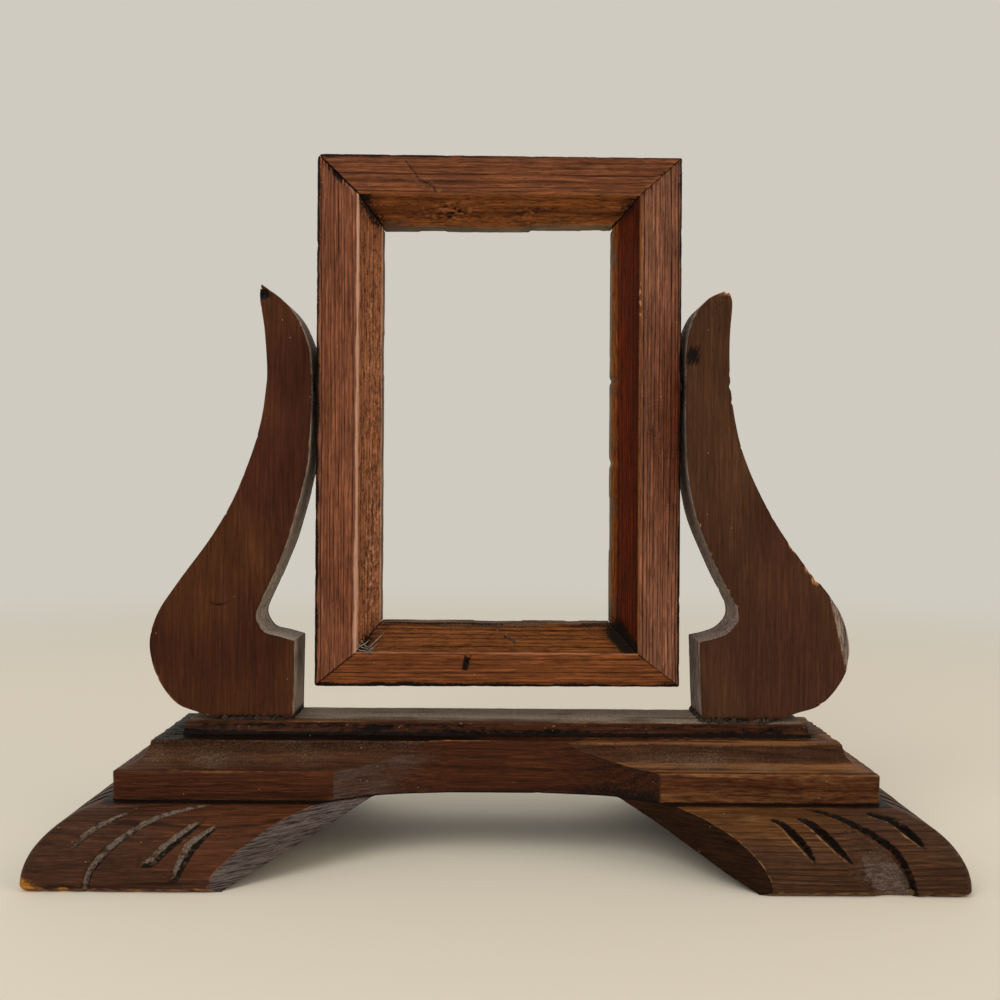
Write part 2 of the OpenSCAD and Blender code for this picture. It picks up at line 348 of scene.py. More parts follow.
def member_section(name):
    """Ring of (in from the outer edge, back from the face) points, and the name of each point's side."""
    face_w, lip_w = frame_widths[name]
    corners = [(0, frame_t, 0.9), (rebate_in, frame_t, 0.5), (rebate_in, shoulder, 0.2),
               (lip_w, shoulder, 0.5), (lip_w, bevel_drop, 0.6), (face_w, 0, 0.7), (0, 0, 1.5)]
    points, sides = [], []
    count = len(corners)
    for index, (side, steps) in enumerate(side_steps.items()):
        here = np.array(corners[index][:2])
        ahead = np.array(corners[(index + 1) % count][:2])
        along = (ahead - here) / np.linalg.norm(ahead - here)
        start = here + along * corners[index][2]
        end = ahead - along * corners[(index + 1) % count][2]
        for t in np.linspace(0, 1, steps + 1):
            points.append(start + (end - start) * t)
            sides.append(side)
        past = np.array(corners[(index + 2) % count][:2])
        turn = (past - ahead) / np.linalg.norm(past - ahead)
        leave = ahead + turn * corners[(index + 1) % count][2]
        for t in np.linspace(0, 1, ARC_STEPS + 1)[1:-1]:
            points.append((1 - t) ** 2 * end + 2 * t * (1 - t) * ahead + t ** 2 * leave)
            sides.append("arris")
    return np.array(points), np.array(sides)


print("section of a rail:", len(member_section("top_rail")[0]), "points")

# %% [markdown]
# ## Wear on the frame
#
# The lips are chipped and stepped where the old glass beads were prised off, the outer arrises are
# nibbled, and the bevels are darker in the corners. All of it only ever takes wood away, so every point
# moves inwards. Single marks are short lists of place, width and depth, and the rest is noise. The shadow
# of the right upright on the right stile and the shade on its bevel are painted into the masks.

# %% Chips and marks of each member, in mm along it from its left or lower end
member_grain = 0.62
# Steps in the lip: where one starts, where it ends, and how much of the lip is gone
lip_steps = each([(140, 158, 0.2)], [(98, 101.5, 0.7), (136, 138.5, 0.8), (60, 84, 0.25)],
                 [(94.5, 150, 0.9), (44, 56, 0.35), (118, 127, 0.3)], [(70, 92, 0.3), (112, 118, 0.3)])
# Gaps left where the mitres have opened, at the start and at the end
mitre_gaps = each((0.10, 0.34), (0.14, 0.16), (0.30, 0.16), (0.10, 0.14))
nail_slot = {"top": (67.6, 13.9), "bottom": (66.5, 8.8), "width": 2.1, "depth": 3.2, "holes": 7}
# How far each outer edge is planed off towards its far end, and at each end
outer_taper = each(0, 0, 1.0, 0.6)
end_drop = each((0, 0), (0.6, 1.0), (0, 0), (0, 0))
# How wide the dirt on the outer arris is, how worn and wide the bevel's arris, how rough the bevel
arris_dirt = each(1.55, 1.15, 1.5, 2.0)
arris_wear = each(0.95, 0.60, 0.42, 0.66)
arris_width = each(0.85, 0.8, 0.7, 0.6)
bevel_rough = each(0.42, 0.10, 0.18, 0.14)
# At the start and at the end: how dark the bevel's corner is, frayed grain, and how round the corner is
corner_darkening = each((0.7, 1.0), (1.45, 0.64), (1.0, 0.64), (0.75, 1.45))
frayed_end = each((0.3, 1.0), (0.6, 0.7), (0.2, 0.8), (0.2, 0.4))
corner_r = each((1.9, 3.4), (1.9, 2.4), (3.4, 2.4), (1.9, 1.9))
# Where a bevel is chipped, as (along, half length, how badly)
bevel_chips = each([(60, 60, 0.55), (165, 45, 0.42)], [], [(58, 16, 1.0), (92, 9, 0.6)], [])
# A curved split across the top rail, as (along, in)
rail_split = [(38.9, 3.2), (42, 7), (45.4, 11.5), (51, 14.4), (52.4, 17.6)]


def rounded(along, inward, radius):
    """Pulls points at a square corner onto a round one, as seen from the front."""
    a, i = radius - along, radius - inward
    out = np.hypot(a, i)
    hit = (a > 0) & (i > 0) & (out > radius)
    scale = np.where(hit, radius / np.maximum(out, 1e-6), 1)
    return np.where(hit, radius - a * scale, along), np.where(hit, radius - i * scale, inward)


def lip_loss(name, along):
    """How much of the lip's edge has broken away at each place along a member."""
    where = np.stack([along, np.zeros_like(along), np.zeros_like(along)], axis=-1)
    seed = len(name) + ord(name[0])
    loss = 0.16 * clamp(lumps(where, (14, 9, 9), seed) + 0.3)
    loss += 0.10 * clamp(lumps(where, (3.4, 9, 9), seed + 1))
    for start, end, depth in lip_steps[name]:
        if end - start < 5:
            loss += depth * bump(along, (start + end) / 2, (end - start) / 2)
        else:
            loss += depth * ramp(along, start - 0.8, start + 0.6) * fall(along, end - 0.6, end + 0.8)
    return loss


# %% A frame member, lofted from its section
def frame_member(name, length, at_start, at_end, place):
    """One rail or stile: place() turns (along, in) in mm into x and z."""
    section, sides = member_section(name)
    inward, back = section[:, 0], section[:, 1]
    first = member_section(at_start)[0][:, 0] + mitre_gaps[name][0]
    last = length - member_section(at_end)[0][:, 0] - mitre_gaps[name][1]
    rows = int(length / member_grain)
    share = np.linspace(0, 1, rows + 1)[:, None]
    drop_first, drop_last = end_drop[name]
    outer_part = clamp(1 - inward / frame_widths[name][0])
    along = (first + drop_first * outer_part) * (1 - share) + (last - drop_last * outer_part) * share
    inward = inward + outer_taper[name] * outer_part * share
    back = np.broadcast_to(back, along.shape).copy()
    face_w, lip_w = frame_widths[name]
    from_joint = np.minimum(along - first, last - along)
    seed = len(name) + ord(name[0])
    spot = np.stack([along, inward, back], axis=-1)
    lump = lumps_at(spot, seed)

    outer_arris = np.hypot(inward, back)
    bevel_arris = np.hypot(inward - face_w, back)
    lip_arris = np.hypot(inward - lip_w, back - bevel_drop)
    seen = np.isin(sides, ["face", "bevel"]) * 1.0
    on_bevel = (np.clip(inward - face_w, 0, None) > 0) & (back < shoulder - 0.2)

    masks, put = blank_masks(along.shape)
    streaks = lump((26, 1.6, 1.6))
    patches = lump((14, 9, 9), 2)
    put("tone", ramp(inward, face_w - 0.6, face_w + 0.6) * (back < shoulder + 0.5))
    ridge_w = arris_width[name] * (1 + 0.25 * patches)
    if name == "left_stile":
        ridge_w = ridge_w * (1 + 0.7 * fall(along, 30, 75))
    ridge = bump(bevel_arris, 0, ridge_w) * arris_wear[name]
    put("worn", ridge * (1 + 0.12 * streaks + 0.15 * patches))
    put("worn", 0.5 * bump(lip_arris, 0, 0.8) * (0.6 + 0.4 * patches))
    dirt_reach = arris_dirt[name] * (0.95 + 0.45 * lump((9, 30, 30), 10))
    put("grime", 1.25 * bump(outer_arris / np.clip(dirt_reach, 0.5, 9), 0, 1))
    put("grime", 0.42 * bump(inward, 0, 3.2) * clamp(0.35 + lump((16, 5, 30), 13)))
    put("grime", bump(from_joint, 0, 0.55) * (0.72 + 0.3 * patches) * seen)
    near_start = (along - first < last - along) * 1.0
    corner = np.hypot(from_joint * 0.8, np.clip(inward - face_w - 3.5, -9, 9) * 0.7)
    corner_dark = corner_darkening[name][0] * near_start + corner_darkening[name][1] * (1 - near_start)
    put("grime", corner_dark * on_bevel * bump(corner, 0, 6.0) * (0.85 + 0.3 * patches))
    fringe = frayed_end[name][0] * near_start + frayed_end[name][1] * (1 - near_start)
    groove = np.clip(1.6 * lump((12, 0.9, 1.1), 4), -1, 1)
    fray = fringe * bump(from_joint, 0, 3.4) * (sides == "face")
    put("grime", fray * clamp(groove))
    put("worn", fray * clamp(-groove) * 0.9)
    chipped = sum((badly * bump(along, at, half) for at, half, badly in bevel_chips[name]), 0 * along)
    chipped = chipped * bump(inward, face_w + 6, 4.5) * on_bevel
    flake = 1.6 * lump((2.3, 1.2, 1.2), 15)
    put("worn", 1.1 * chipped * clamp(flake))
    put("grime", 0.8 * chipped * clamp(-flake))
    back += 0.35 * chipped * clamp(1 - flake, 2)
    under_arris = bump(inward, face_w + 1.9, 1.3) * on_bevel
    if name == "left_stile":
        put("grime", 0.46 * under_arris * (0.7 + 0.5 * lump((5, 1, 1), 11)))
        put("worn", 0.8 * bump(lip_arris, 0, 0.6))
    if name == "right_stile":
        # A painted shadow of the right upright on the stile's outer face, darkest at its outer edge.
        upright_shadow = bump(along, 118, 54) * (inward < face_w) * (back < 1)
        put("tone", 0.95 * upright_shadow * (1 - 0.90 * inward / face_w))
        put("grime", 0.44 * upright_shadow * (0.97 + 0.10 * patches))
        flecks = bump(bevel_arris, 0, 0.5) * bump(along, 171, 10)
        put("bare", 1.4 * flecks * clamp(2.5 * lump((2.2, 1, 1), 14)))
        # Painted shade on the bevel beside its arris.
        put("grime", 0.50 * bump(inward, face_w + 1.0, 2.6) * on_bevel)
        put("grime", 0.34 * bump(inward, 0, 3.4) * (back < 1))
        put("worn", 0.50 * ramp(inward, lip_w - 4.5, lip_w - 1) * on_bevel)
    if name == "top_rail":
        split = spaced(through(rail_split), 40)
        off = np.hypot(along[..., None] - split[:, 0], inward[..., None] - split[:, 1]).min(axis=-1)
        put("worn", 0.52 * bump(off, 1.6, 1.8) * clamp(0.1 + 1.4 * lump((2.4, 1, 1), 14)))
        put("grime", 0.80 * bump(off, 0, 0.45) * (sides == "face"))
        torn_edge = ramp(along, 38, 44) * fall(along, 57, 62) + ramp(along, 66, 70) * fall(along, 104, 110)
        put("grime", 1.15 * torn_edge * bump(outer_arris / (1.5 + 0.8 * streaks.clip(-1, 1)), 0, 1))
        put("worn", 0.24 * bump(inward, face_w + 1.0, 1.3) * on_bevel * ramp(along, 50, 60))
        seam = bump(inward, face_w + 4.0 + 0.008 * along, 1.2) * on_bevel
        put("grime", (0.42 + 0.2 * streaks) * seam)
        put("worn", 0.30 * ramp(inward, face_w + 6, face_w + 8) * on_bevel * (0.6 + 0.6 * patches))
    if name == "bottom_rail":
        put("grime", 0.60 * ramp(inward, lip_w - 3, lip_w - 1) * on_bevel * (0.8 + 0.5 * streaks))
        put("grime", 0.44 * under_arris * (0.7 + 0.5 * lump((5, 1, 1), 11)))
        lint = np.hypot((along - member_w + 5) * 0.7, inward - face_w - 1.2)
        put("dust", 1.1 * bump(lint, 0, 2.2) * (back < bevel_drop))
    put("raw", np.isin(sides, ["back", "rebate", "shoulder"]) * 1.0)
    put("raw", 0.72 * ramp(back, bevel_drop + 0.3, bevel_drop + 1.5) * (inward > lip_w - 2))
    put("dust", 0.55 * ramp(back, 5.5, 10) * on_bevel * clamp(0.4 + patches))

    loss = lip_loss(name, along)
    near_lip = ramp(inward, lip_w - 5, lip_w) * (back < shoulder + 0.5)
    inward -= near_lip * loss
    put("worn", bump(lip_arris, 0, 1.2) * clamp(loss) * 0.8)
    nibbles = 0.26 * clamp(lump((6, 30, 30), 5) - 0.15)
    nibbles += 0.10 * clamp(lump((1.7, 30, 30), 6))
    inward += bump(outer_arris, 0, 1.9) * nibbles
    back += bump(outer_arris, 0, 1.9) * nibbles
    sunken = 0.10 * (1 + lump((45, 5, 30), 7)) + 0.05 * (1 + lump((9, 1.3, 30), 8))
    back += seen * ramp(from_joint, 0, 2) * sunken
    hacked = clamp(1 + lump((1.5, 0.85, 30), 12), 2) * ramp(inward, face_w + 0.8, face_w + 2)
    back += bevel_rough[name] * hacked * on_bevel * fall(inward, lip_w - 1.6, lip_w - 0.4)
    back += 0.45 * fray * clamp(groove) * ramp(from_joint, 0, 0.8)
    along, inward = rounded(along, inward, corner_r[name][0])
    far_end, inward = rounded(length - along, inward, corner_r[name][1])
    along = length - far_end
    inward += (sides == "edge") * 0.10 * clamp(1 + lump((20, 30, 5), 9), 2)
    if name == "bottom_rail":
        top, bottom = (np.array(nail_slot[k]) for k in ("top", "bottom"))
        rise = clamp((inward - bottom[1]) / (top[1] - bottom[1]))
        far = np.hypot(along - bottom[0] - rise * (top[0] - bottom[0]),
                       inward - bottom[1] - rise * (top[1] - bottom[1]))
        put("grime", 1.1 * fall(far, 0.7, 1.8) * (sides == "face"))
    x, z = place(along, inward)
    return skin(name + "_worn", np.stack([x, frame_face + back, z], axis=-1), masks)


# %% The two rails and the two stiles
rails = {"bottom_rail": lambda a, i: (a - frame_half, frame_bottom + i),
         "top_rail": lambda a, i: (a - frame_half, frame_top - i)}
stiles = {"left_stile": lambda a, i: (i - frame_half, frame_bottom + a),
          "right_stile": lambda a, i: (frame_half - i, frame_bottom + a)}
members = {name: frame_member(name, 2 * frame_half, "left_stile", "right_stile", place)
           for name, place in rails.items()}
for name, place in stiles.items():
    members[name] = frame_member(name, frame_top - frame_bottom, "bottom_rail", "top_rail", place)

# %% The slot that a cut nail left in the bottom rail, as a row of fine holes that run together
slot_holes = []
for share in np.linspace(0, 1, nail_slot["holes"]):
    a, i = (1 - share) * np.array(nail_slot["top"]) + share * np.array(nail_slot["bottom"])
    x, z = rails["bottom_rail"](a, i)
    ends = [(x, frame_face - 1, z), (x, frame_face + nail_slot["depth"], z)]
    slot_holes.append((*ends, nail_slot["width"] / 2))
drill(members["bottom_rail"], slot_holes)

# %% Pivot bores in the stiles
pivot_low, pivot_high = box_mm("right_pivot_screw")
pivot_bore_r = 2.25


def pivot_hole(sign, start_x, end_x, radius):
    """A hole along the swing axis, on one side, as the drill needs it."""
    return (sign * start_x, 0, pivot_z), (sign * end_x, 0, pivot_z), radius


for side, sign in hands.items():
    drill(members[side + "_stile"], [pivot_hole(sign, pivot_low[0] - 1, frame_half + 2, pivot_bore_r)])
for name, member in members.items():
    finished(member, "mirror_frame", "frame_wood", name)

# %% [markdown]
# ## The uprights
#
# An upright is a board sawn to an S-scroll with a square block at its inner foot. An extrusion of the
# outline would give two flat faces with no points between their edges to carry wear. Here ribs run from
# the inner edge to the outer one, from the foot up to the tip, and each rib is a closed ring round the
# board. The arrises are rounded along the outline's own normals, so they stay even where a rib meets
# the outline at a slant, such as on the floor of the notch.
#
# The two boards were sawn by hand and are not alike. The left tip is sharp and has lost its point, and
# the right one is blunt. The right board also has a flat shaved off its belly.

# %% Outlines of the uprights, out from the swing gap, and up from the plate or from the pivot
block_foot = {"left": (7.1, 0), "right": (7.9, 0)}
inner_edge = {
    "left": {
        "low": [(6.6, 34.4), (13.5, 36.3), (19.8, 38), (23.1, 42.5), (23.6, 46.4), (21.4, 52), (16.2, 63.2),
                (10, 78.5), (6.6, 90.4)],
        "high": [(3.6, -46), (1.1, -33), (0.1, -12), (0, 0), (0.8, 13), (2.8, 20), (6.9, 29), (12.9, 36),
                 (21.9, 42.6)]},
    "right": {
        "low": [(6.6, 34.9), (13, 36.3), (18.9, 38.8), (23.1, 43.6), (23.4, 48.4), (21.3, 53.6), (15.4, 65),
                (8.6, 80), (4.6, 91)],
        "high": [(2.4, -46), (0.7, -33), (0.1, -12), (0, 0), (0.1, 13), (1.5, 23.5), (4.7, 31.8),
                 (8.9, 36.8), (12.8, 39.2), (16.8, 40.7)]},
}
outer_edge = {
    "left": {
        "high": [(22.9, 40.6), (22.9, 35.5), (20.9, 23), (19.6, 6), (20.1, -3), (22, -16.5), (26.1, -31.5),
                 (34.1, -51.5)],
        "low": [(43.9, 79.5), (59.3, 58.3), (66.9, 46.5), (70.4, 34), (68.6, 22.5), (64.2, 13.4),
                (57.9, 6.4), (49.8, 3.2), (42, 1), (35.9, 0)]},
    "right": {
        "high": [(19, 40.2), (20.2, 37), (20.3, 32.5), (19.4, 20), (19.4, 6), (20.1, -4), (22.5, -18.5),
                 (26.3, -33), (34.3, -50.8)],
        "low": [(45, 79.5), (61.6, 58.3), (69.6, 46.5), (73.1, 34), (71.2, 22.5), (65.7, 13.2),
                (58.7, 7), (49.9, 4.1), (42, 1.2), (35.9, 0)]},
}


def upright_edges(side, stations):
    """Inner and outer edge of an upright in (x, z), from the foot to the tip, for the right side."""
    low = np.array([swing_x, plate_top])
    high = np.array([swing_x, pivot_z])
    inner = np.vstack([np.array(inner_edge[side]["low"]) + low, np.array(inner_edge[side]["high"]) + high])
    outer = np.vstack([np.array(outer_edge[side]["high"]) + high, np.array(outer_edge[side]["low"]) + low])
    inner = np.vstack([low + block_foot[side], through(inner)])
    return spaced(inner, stations), spaced(through(outer)[::-1], stations)


def into_board(edge, sign):
    """Unit normals of an edge in (x, z) that point into the board."""
    run = np.gradient(edge, axis=0)
    run /= np.linalg.norm(run, axis=1)[:, None]
    return sign * np.stack([run[:, 1], -run[:, 0]], axis=1)


# %% Marks on the uprights, in mm, as (x, z) for the side that they are on
stations = 236
front_steps, back_steps, side_rows, arris_rows = 84, 44, 26, 4
belly_flat = {"top": (144.8, 115.5), "bottom": (152.6, 80.5), "fall": 0.45}
edge_chips = [((131.8, 133.4), 3.4, 1.0), ((135.8, 128.0), 2.8, 0.9), ((139.0, 123.8), 3.4, 1.5),
              ((141.4, 119.2), 3.0, 1.3), ((101.8, 203.0), 1.3, 0.45)]
knot_scar = {"at": (85.2, 216.4), "half": (2.8, 3.9), "depth": 0.5}
scuff = {"at": (-122.5, 107.4), "radius": 9.5, "middle": (-122.0, 112.9), "width": 0.5, "depth": 0.25}
upright_arris = {"front": 0.85, "back": 0.6}


def upright(side):
    """One upright with its chips, shaved flat, scars and worn arrises."""
    inner, outer = upright_edges(side, stations)
    edges = {"inner": (inner, into_board(inner, 1)), "outer": (outer, into_board(outer, -1))}
    rows, where = [], []

    def inset(edge, distance):
        """An edge moved into the board."""
        line, normal = edges[edge]
        return line + normal * distance

    def add(line, y, name):
        """One more row of points up the board, at the depth y."""
        rows.append(np.column_stack([line[:, 0], np.full(stations, y), line[:, 1]]))
        where.append(name)

    def add_arris(edge, face, angles):
        """The rows that round the arris between a face and an edge."""
        r = upright_arris[face]
        for a in angles:
            depth = r * (1 - math.cos(math.pi / 2 - a))
            add(inset(edge, r * (1 - math.sin(a))), y + toward * depth, face)

    for face, other, near, far, toward, steps in (("front", "back", "inner", "outer", 1, front_steps),
                                                  ("back", "front", "outer", "inner", -1, back_steps)):
        y, r = -toward * upright_half, upright_arris[face]
        turn = np.linspace(0, math.pi / 2, arris_rows + 1)
        add_arris(near, face, turn)
        for t in np.linspace(0, 1, steps + 1)[1:-1]:
            add(inset(near, r) * (1 - t) + inset(far, r) * t, y, face + " flat")
        add_arris(far, face, turn[::-1])
        start, end = y + toward * r, -y - toward * upright_arris[other]
        for t in np.linspace(0, 1, side_rows + 1)[1:-1]:
            add(edges[far][0], start + (end - start) * t, far + " side")
    return finish_upright(side, np.stack(rows, axis=1), np.array(where))


def finish_upright(side, rings, where):
    """Wears, chips and paints the rings of an upright."""
    lump = lumps_at(rings, 40 if side == "right" else 60)
    x, y, z = (rings[..., k].copy() for k in range(3))
    masks, put = blank_masks(x.shape)
    sides = np.char.endswith(where, "side")[None, :]
    front = (y < -upright_half + 0.9)
    middle_x = (x.min(axis=1) + x.max(axis=1))[:, None] / 2
    away = np.sign(x - middle_x)
    edge_rows = np.isin(where, ["front", "back"])[None, :] * 1.0
    patches = lump((13, 13, 22), 1)
    fine = lump((1.6, 1.6, 3.5), 2)

    saw = 0.03 * (1 + lump((1.7, 40, 1.7), 3)) + 0.14 * (1 + lump((14, 30, 14), 4))
    x -= away * (sides + edge_rows) * clamp(saw) * 0.8
    y += np.where(front, 1, 0) * (1 - sides) * 0.07 * (1 + lump((9, 9, 60), 5))
    nicks = clamp(lump((3, 8, 3), 6) - 0.62)
    x -= away * edge_rows * 0.8 * nicks

    put("raw", sides * (0.80 + 0.25 * patches))
    put("worn", edge_rows * ((0.44 if side == "left" else 0.24) + 0.35 * patches + 0.2 * fine))
    put("grime", edge_rows * front * 0.45 * clamp(0.6 - patches))
    put("tone", 0.5 + 1.3 * lump((26, 34, 34), 7))
    put("grime", (1 - sides) * (0.02 + 0.29 * ramp(z, pivot_z - 22, pivot_z + 10)) * (1 + 0.5 * patches))
    put("bare", edge_rows * nicks * 1.6)
    on_block = sides * ramp(-z, -plate_top - 46, -plate_top - 40) * (x < swing_x + 30) * (away < 0)
    put("grime", on_block * (0.12 + 0.25 * patches))
    put("grime", on_block * 0.7 * bump(y, upright_half, 2.2))
    put("grime", (1 - sides) * ramp(-z, -plate_top - 3.5, -plate_top - 0.6) * (0.8 + 0.4 * fine))
    put("grime", sides * (z < plate_top + 60) * ramp(-z, -plate_top - 5, -plate_top - 1) * 0.8)
    # Painted shade on the inner sides beside the pivot, where the frame's stile stands close.
    pivot_shade = bump(z, pivot_z, 26) * (x < swing_x + 3)
    put("grime", sides * pivot_shade * 0.6)
    put("dust", sides * 0.35 * clamp(0.3 + patches))

    if side == "right":
        top, bottom = (np.array(belly_flat[k]) for k in ("top", "bottom"))
        line = (bottom - top) / np.linalg.norm(bottom - top)
        out = np.array([-line[1], line[0]])
        beyond = (x - top[0]) * out[0] + (z - top[1]) * out[1]
        along = (x - top[0]) * line[0] + (z - top[1]) * line[1]
        reach = np.linalg.norm(bottom - top)
        slant = belly_flat["fall"]
        over = beyond - (y + upright_half) / slant
        hit = (over > 0) & (along > -8) & (along < reach + 8)
        press = over / (1 + 1 / slant ** 2)
        x = np.where(hit, x - out[0] * press, x)
        z = np.where(hit, z - out[1] * press, z)
        y = np.where(hit, y + press / slant, y)
        put("raw", hit * 1.0)
        put("worn", bump(over, 0, 0.5) * (along > -2) * (along < reach + 2) * (y < 0) * 0.7)
        for (cx, cz), radius, depth in edge_chips:
            chip = bump(np.hypot(x - cx, z - cz), 0, radius) * ramp(-y, 1, 9)
            rough = chip * (0.8 + 0.6 * fine)
            x -= away * depth * rough
            y += 0.8 * depth * rough * front
            put("bare", 1.7 * rough * (depth > 0.95))
        scar = bump(np.maximum(abs(x - knot_scar["at"][0]) / knot_scar["half"][0],
                               abs(z - knot_scar["at"][1]) / knot_scar["half"][1]), 0, 1.15)
        weave = 0.5 + 0.5 * np.sin((x + 0.8 * z) * 5.2) * np.sin((x - 0.8 * z) * 5.2)
        y += front * scar * knot_scar["depth"] * (0.35 + 0.65 * weave)
        put("grime", front * scar * (0.60 + 0.90 * weave))
        tip_wear = ramp(z + 0.8 * fine, pivot_z + 38.2, pivot_z + 39.8)
        put("worn", tip_wear * 0.9)
        put("bare", tip_wear * ramp(x, swing_x + 15, swing_x + 18) * 0.8)
    else:
        ring = np.hypot(-x - scuff["middle"][0], z - scuff["middle"][1])
        arc = bump(ring, scuff["radius"] - 2.6, scuff["width"]) * (z < scuff["at"][1] + 0.5)
        arc = arc * bump(-x, scuff["at"][0], 5.5) * front
        y += scuff["depth"] * arc
        put("grime", 0.9 * arc)
        put("worn", 0.5 * bump(ring, scuff["radius"] - 1.5, 0.5) * (arc > 0.05))
        broken = bump(np.hypot(x - swing_x - 20.9, z - pivot_z - 38.2), 0, 2.3)
        y += front * 1.2 * broken * (0.6 + 0.5 * fine)
        put("grime", clamp(1.5 * broken) * front)

    return skin(side + "_upright_worn", np.stack([hands[side] * x, y, z], axis=-1), masks)


# %% Both uprights, with the stepped holes of the pivot screws
pivot_r = (pivot_high[1] - pivot_low[1]) / 2
pivot_seat_x = swing_x + 17
pivot_shank_r = 2.2
for side, sign in hands.items():
    scroll = upright(side)
    drill(scroll, [pivot_hole(sign, swing_x - 2, pivot_seat_x + 1, pivot_shank_r),
                   pivot_hole(sign, pivot_seat_x, pivot_seat_x + 12, pivot_r + 0.5)])
    finished(scroll, "stand", "upright_wood", side + "_upright")

# %% [markdown]
# ## Which way is out
#
# The plate and the feet have curved surfaces, and wear has to sink straight into them. Instead of
# working out a direction for each surface, the normals of a whole stack of rings are measured from the
# points around each one. Their sign is settled by the volume: outward normals mostly point away from
# the middle of the piece.

# %% Normals of a stack of rings
def outward(rings):
    """Unit normals of rings[level, around, xyz], pointing out of the piece."""
    up = np.gradient(rings, axis=0)
    round_it = (np.roll(rings, -1, axis=1) - np.roll(rings, 1, axis=1)) / 2
    normal = np.cross(round_it, up)
    normal /= np.linalg.norm(normal, axis=2, keepdims=True) + 1e-9
    middle = rings.reshape(-1, 3).mean(axis=0)
    return normal * np.sign(np.sum(normal * (rings - middle)))


# %% [markdown]
# ## The sawn recess
#
# One curved cut with a bandsaw shaped the fronts of the plate and of both feet together, so they share
# its curve as seen from above. The curve is needed in two ways: how far back it lies at a given x, and
# where it crosses a straight front edge, which is where each ring has to have a point for a crisp arris.

# %% The saw's path, as (x, distance in front of or behind the plate's edge)
recess_d = 13.3
recess_knots = [(20, -recess_d), (48, -9.2), (68, 0), (86, 13.5), (104, 25), (116, 30)]
saw_path = through(recess_knots)
saw_x, saw_y = saw_path[:, 0], plate_front - saw_path[:, 1]


def sawn_y(x):
    """How far back the saw cut lies at x."""
    return np.interp(np.abs(x), saw_x, saw_y)


def crossing_x(y):
    """Where the saw cut meets a straight front edge at y."""
    return float(np.interp(-y, -saw_y, saw_x))


# %% [markdown]
# ## The plate
#
# The plate is one plank with a moulding planed round it, mitred at the corners. Seen from above, its
# moulding is a nest of rectangles that shrink as they rise, so a ring for each height of the section
# gives true mitres for nothing. The rings go on to the middle of the top, where they close in a line.
# In front they are pushed back to the saw's path, and stacked there they form the sawn wall.

# %% Section of the moulding, as (in from the edge, up from the underside), and how round each corner is
fillet_h, arris_r, hollow_r, nosing_h, ledge_w = 10.5, 2.0, 9.0, 0.8, 10.3
riser_h, riser_lean, arris_flat = 5.7, 1.7, 1.0
hollow_in = arris_r + arris_flat
ledge_in = hollow_in + hollow_r
hollow_z = fillet_h + arris_r
ledge_z = hollow_z + hollow_r + nosing_h
moulding_w = ledge_in + ledge_w + riser_lean
hollow_arc = [(hollow_in + hollow_r * math.sin(a), hollow_z + hollow_r * (1 - math.cos(a)), 0)
              for a in np.linspace(0.12, math.pi / 2 - 0.05, 9)]
plate_section = [(0, 0, 0), (0, fillet_h + 1.6, 1.5), (hollow_in - 0.2, hollow_z, 1.0), *hollow_arc,
                 (ledge_in, ledge_z, 0.8), (ledge_in + ledge_w, ledge_z, 0.4),
                 (moulding_w, ledge_z + riser_h, 0.9), (plate_high[1], ledge_z + riser_h, 0)]


def rounded_line(corners, spacing):
    """Evenly spaced points along an open line whose corners are (x, y, rounding)."""
    points = [np.array(corners[0][:2], float)]
    for before, here, after in zip(corners, corners[1:], corners[2:]):
        spot = np.array(here[:2], float)
        back, ahead = (np.array(p[:2], float) - spot for p in (before, after))
        start = spot + back / np.linalg.norm(back) * here[2]
        end = spot + ahead / np.linalg.norm(ahead) * here[2]
        steps = 6 if here[2] > 0 else 1
        for t in np.linspace(0, 1, steps, endpoint=here[2] > 0):
            points.append((1 - t) ** 2 * start + 2 * t * (1 - t) * spot + t ** 2 * end)
    points.append(np.array(corners[-1][:2], float))
    points = np.array(points)
    length = np.linalg.norm(np.diff(points, axis=0), axis=1).sum()
    return spaced(points, int(length / spacing) + 1)


# %% The plate's rings
plate_steps = {"arm": 92, "recess": 132, "end": 76}
edge_chip = {"x": (-139.4, -130.6), "z": 13.1, "depth": 0.8}
bottom_notch = {"x": 17.5, "half": 1.5, "depth": 1.3}


def plate_rings(section):
    """Rings of the plate, and whether each point lies on the sawn wall."""
    rings, walls = [], []
    for inset, up in section:
        a, b = plate_half - inset, -plate_front - inset
        cross = min(crossing_x(-b), a - 1)
        arm = np.linspace(-a, -cross, plate_steps["arm"], endpoint=False)
        gap = np.linspace(-cross, cross, plate_steps["recess"], endpoint=False)
        front_x = np.concatenate([arm, gap, np.linspace(cross, a, plate_steps["arm"], endpoint=False)])
        in_gap = np.concatenate([arm * 0, gap * 0 + 1, arm * 0])
        front_y = np.where(in_gap > 0, np.maximum(-b, sawn_y(front_x)), -b)
        end = np.linspace(-1, 1, plate_steps["end"], endpoint=False) * b
        x = np.concatenate([front_x, end * 0 + a, -front_x, end * 0 - a])
        y = np.concatenate([front_y, end, front_x * 0 + b, -end])
        cut = in_gap * (sawn_y(front_x) > -b + 0.01)
        wall = np.concatenate([cut, end * 0, front_x * 0, end * 0])
        rings.append(np.column_stack([x, y, x * 0 + plate_bottom + up]))
        walls.append(wall)
    return np.array(rings), np.array(walls)
